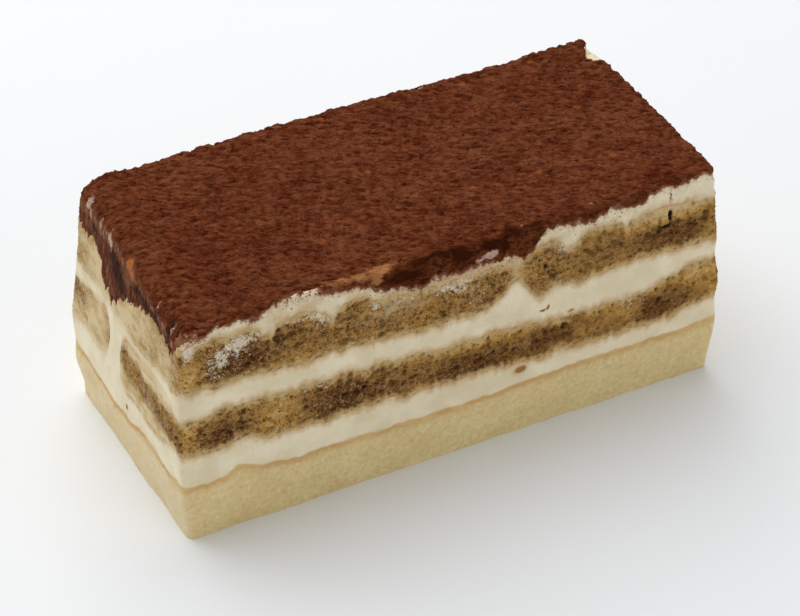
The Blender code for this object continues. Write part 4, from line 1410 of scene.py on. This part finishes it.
# Cocoa clumps: damp powder that caked into little lumps, strewn all over the skin of cocoa and half sunk
# in it.
CLUMPS = {"Density": 0.16, "Least": 0.35, "Most": 0.8, "Seed": 3.0}


def strewn():
    """Small uneven lumps scattered over a host, as thickly as its points want them."""
    sizes = {"Density": 1.0, "Least": 0.4, "Most": 0.9, "Flat": 0.52, "Seed": 1.0, "Uneven": 0.25}
    start, given = new_shape_tree("strewn", sizes)
    density = given["Density"] * known(start, "wanted") * (1.0 / MM ** 2)
    values = {"Mesh": given["Geometry"], "Density": density, "Seed": given["Seed"]}
    spots = start.add("GeometryNodeDistributePointsOnFaces", {}, values, "Points")
    ball = start.add("GeometryNodeMeshIcoSphere", {}, {"Radius": 0.5 * MM, "Subdivisions": 1}, "Mesh")
    round_ball = start.add("GeometryNodeSetShadeSmooth", {}, {0: ball})
    extents = {"Seed": given["Seed"]}
    for socket, width in enumerate((given["Least"], given["Most"])):
        sides = {0: width, 1: width, 2: width * given["Flat"]}
        extents[socket] = start.add("ShaderNodeCombineXYZ", {}, sides)
    scale = start.add("FunctionNodeRandomValue", {"data_type": "FLOAT_VECTOR"}, extents)
    values = {"Points": spots, "Instance": round_ball, "Rotation": spots.also("Rotation"), "Scale": scale}
    lumps = start.add("GeometryNodeInstanceOnPoints", {}, values)
    real = start.add("GeometryNodeRealizeInstances", {}, {"Geometry": lumps})
    shake = given["place"].noise(0.5, 1.0, output="Color").plus((-0.5, -0.5, -0.5))
    return end_shape_tree(start, given, pushed(start, real, shake, given["Uneven"]))


def carried(host, label):
    """Values that the points of a piece carry by name."""
    values = np.zeros(len(host.data.vertices), dtype=np.float32)
    host.data.attributes[label].data.foreach_get("value", values)
    return values


def scattered(name, host, wanted, finish, sizes):
    """Piece of small lumps over a host piece. wanted is the share of the density at each of its points."""
    mesh = host.data.copy()
    mesh.name = name
    carry(mesh, "wanted", np.clip(wanted, 0.0, 1.0))
    return worked(placed(name, mesh), strewn_tree, finish, sizes)


strewn_tree = strewn()
wanted = carried(cocoa_top, "loose") * (1.0 - 0.6 * carried(cocoa_top, "dragged"))
cocoa_clumps = scattered("cocoa_clumps", cocoa_top, wanted, cocoa_finish, CLUMPS)
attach(cocoa_clumps, "root")

# Cocoa grains: dry powder, sieved past the edge of the skin. It fell down the sides of the slice and
# stuck to the last cream.
GRAINS = {"Density": 0.8, "Least": 0.16, "Most": 0.42, "Seed": 5.0, "Uneven": 0.15}
wanted = 1.4 * carried(cream_top, "dust")
cocoa_grains = scattered("cocoa_grains", cream_top, wanted, cocoa_finish, GRAINS)
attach(cocoa_grains, "root")

# Cream flecks: bits of mascarpone cream that the knife dragged down from the last cream. They stick to
# the crumb of the upper sponge's left length, where cream is smeared over it.
FLECKS_OF_CREAM = {"Density": 1.5, "Least": 0.25, "Most": 0.75, "Seed": 7.0, "Uneven": 0.25}
wanted = 1.4 * carried(upper_left, "smear") - 0.45
cream_flecks = scattered("cream_flecks", upper_left, wanted, cream_finish, FLECKS_OF_CREAM)
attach(cream_flecks, "root")

# Floor, light and camera: a plain pale floor under a wide soft lamp behind the slice, seen from its left
# front corner. Two weak lamps lighten the shadows on the left end and on the front.
FLOOR_SIZE = 6.0
FLOOR_COOL = shade(244, 246, 249)
FLOOR_WARM = shade(247, 249, 251)
SKY_COLOUR = (0.95, 0.975, 1.0, 1.0)
SKY_STRENGTH = 0.42
# Lamps as (place in metres, size in metres, power in watts, colour)
LAMPS = {
    "overhead": ((-0.12, 0.62, 1.0), 1.5, 13.5, (1.0, 0.985, 0.96)),
    "left_fill": ((-1.1, 0.1, 0.5), 0.8, 0.6, (0.7, 0.86, 1.0)),
    "front_fill": ((0.5, -1.2, 0.5), 1.0, 2.2, (1.0, 0.98, 0.95)),
}
CAMERA_AZIMUTH = math.radians(-27.579)
CAMERA_RISE = math.radians(37.3)
CAMERA_DISTANCE = 593.563
CAMERA_TARGET = Vector((0.835, 0.0, 17.199)) * MM
SENSOR = 36.0
FOCAL_LENGTH = 136.01

floor_mesh = bpy.data.meshes.new("floor")
half_floor = FLOOR_SIZE / 2
corners = [(-half_floor, -half_floor, 0.0), (half_floor, -half_floor, 0.0)]
corners += [(half_floor, half_floor, 0.0), (-half_floor, half_floor, 0.0)]
floor_mesh.from_pydata(corners, [], [(0, 1, 2, 3)])
floor = placed("floor", floor_mesh)
floor_finish, start, place, _ = new_food("pale_floor")
grey = place.noise(60.0, 2.0).mix(FLOOR_COOL, FLOOR_WARM)
finish_food(start, grey, 0.7, place.noise(3.0), 0.02, 0.1)
floor_mesh.materials.append(floor_finish)

world = bpy.data.worlds.new("studio")
world.use_nodes = True
sky = world.node_tree.nodes["Background"]
sky.inputs["Color"].default_value = SKY_COLOUR
sky.inputs["Strength"].default_value = SKY_STRENGTH
bpy.context.scene.world = world

for name, (place, size, power, colour) in LAMPS.items():
    light = bpy.data.lights.new(name, "AREA")
    light.size = size
    light.energy = power
    light.color = colour
    lamp = placed(name, light)
    lamp.location = place
    lamp.rotation_euler = (CAMERA_TARGET - Vector(place)).to_track_quat("-Z", "Y").to_euler()

lens = bpy.data.cameras.new("camera")
lens.lens = FOCAL_LENGTH
lens.sensor_width = SENSOR
lens.clip_start = 0.01
level = math.cos(CAMERA_RISE)
back = Vector((math.sin(CAMERA_AZIMUTH) * level, -math.cos(CAMERA_AZIMUTH) * level, math.sin(CAMERA_RISE)))
camera = placed("camera", lens)
camera.location = CAMERA_TARGET + back * CAMERA_DISTANCE * MM
camera.rotation_euler = (-back).to_track_quat("-Z", "Y").to_euler()
bpy.context.scene.camera = camera
bpy.context.scene.view_settings.view_transform = "Standard"
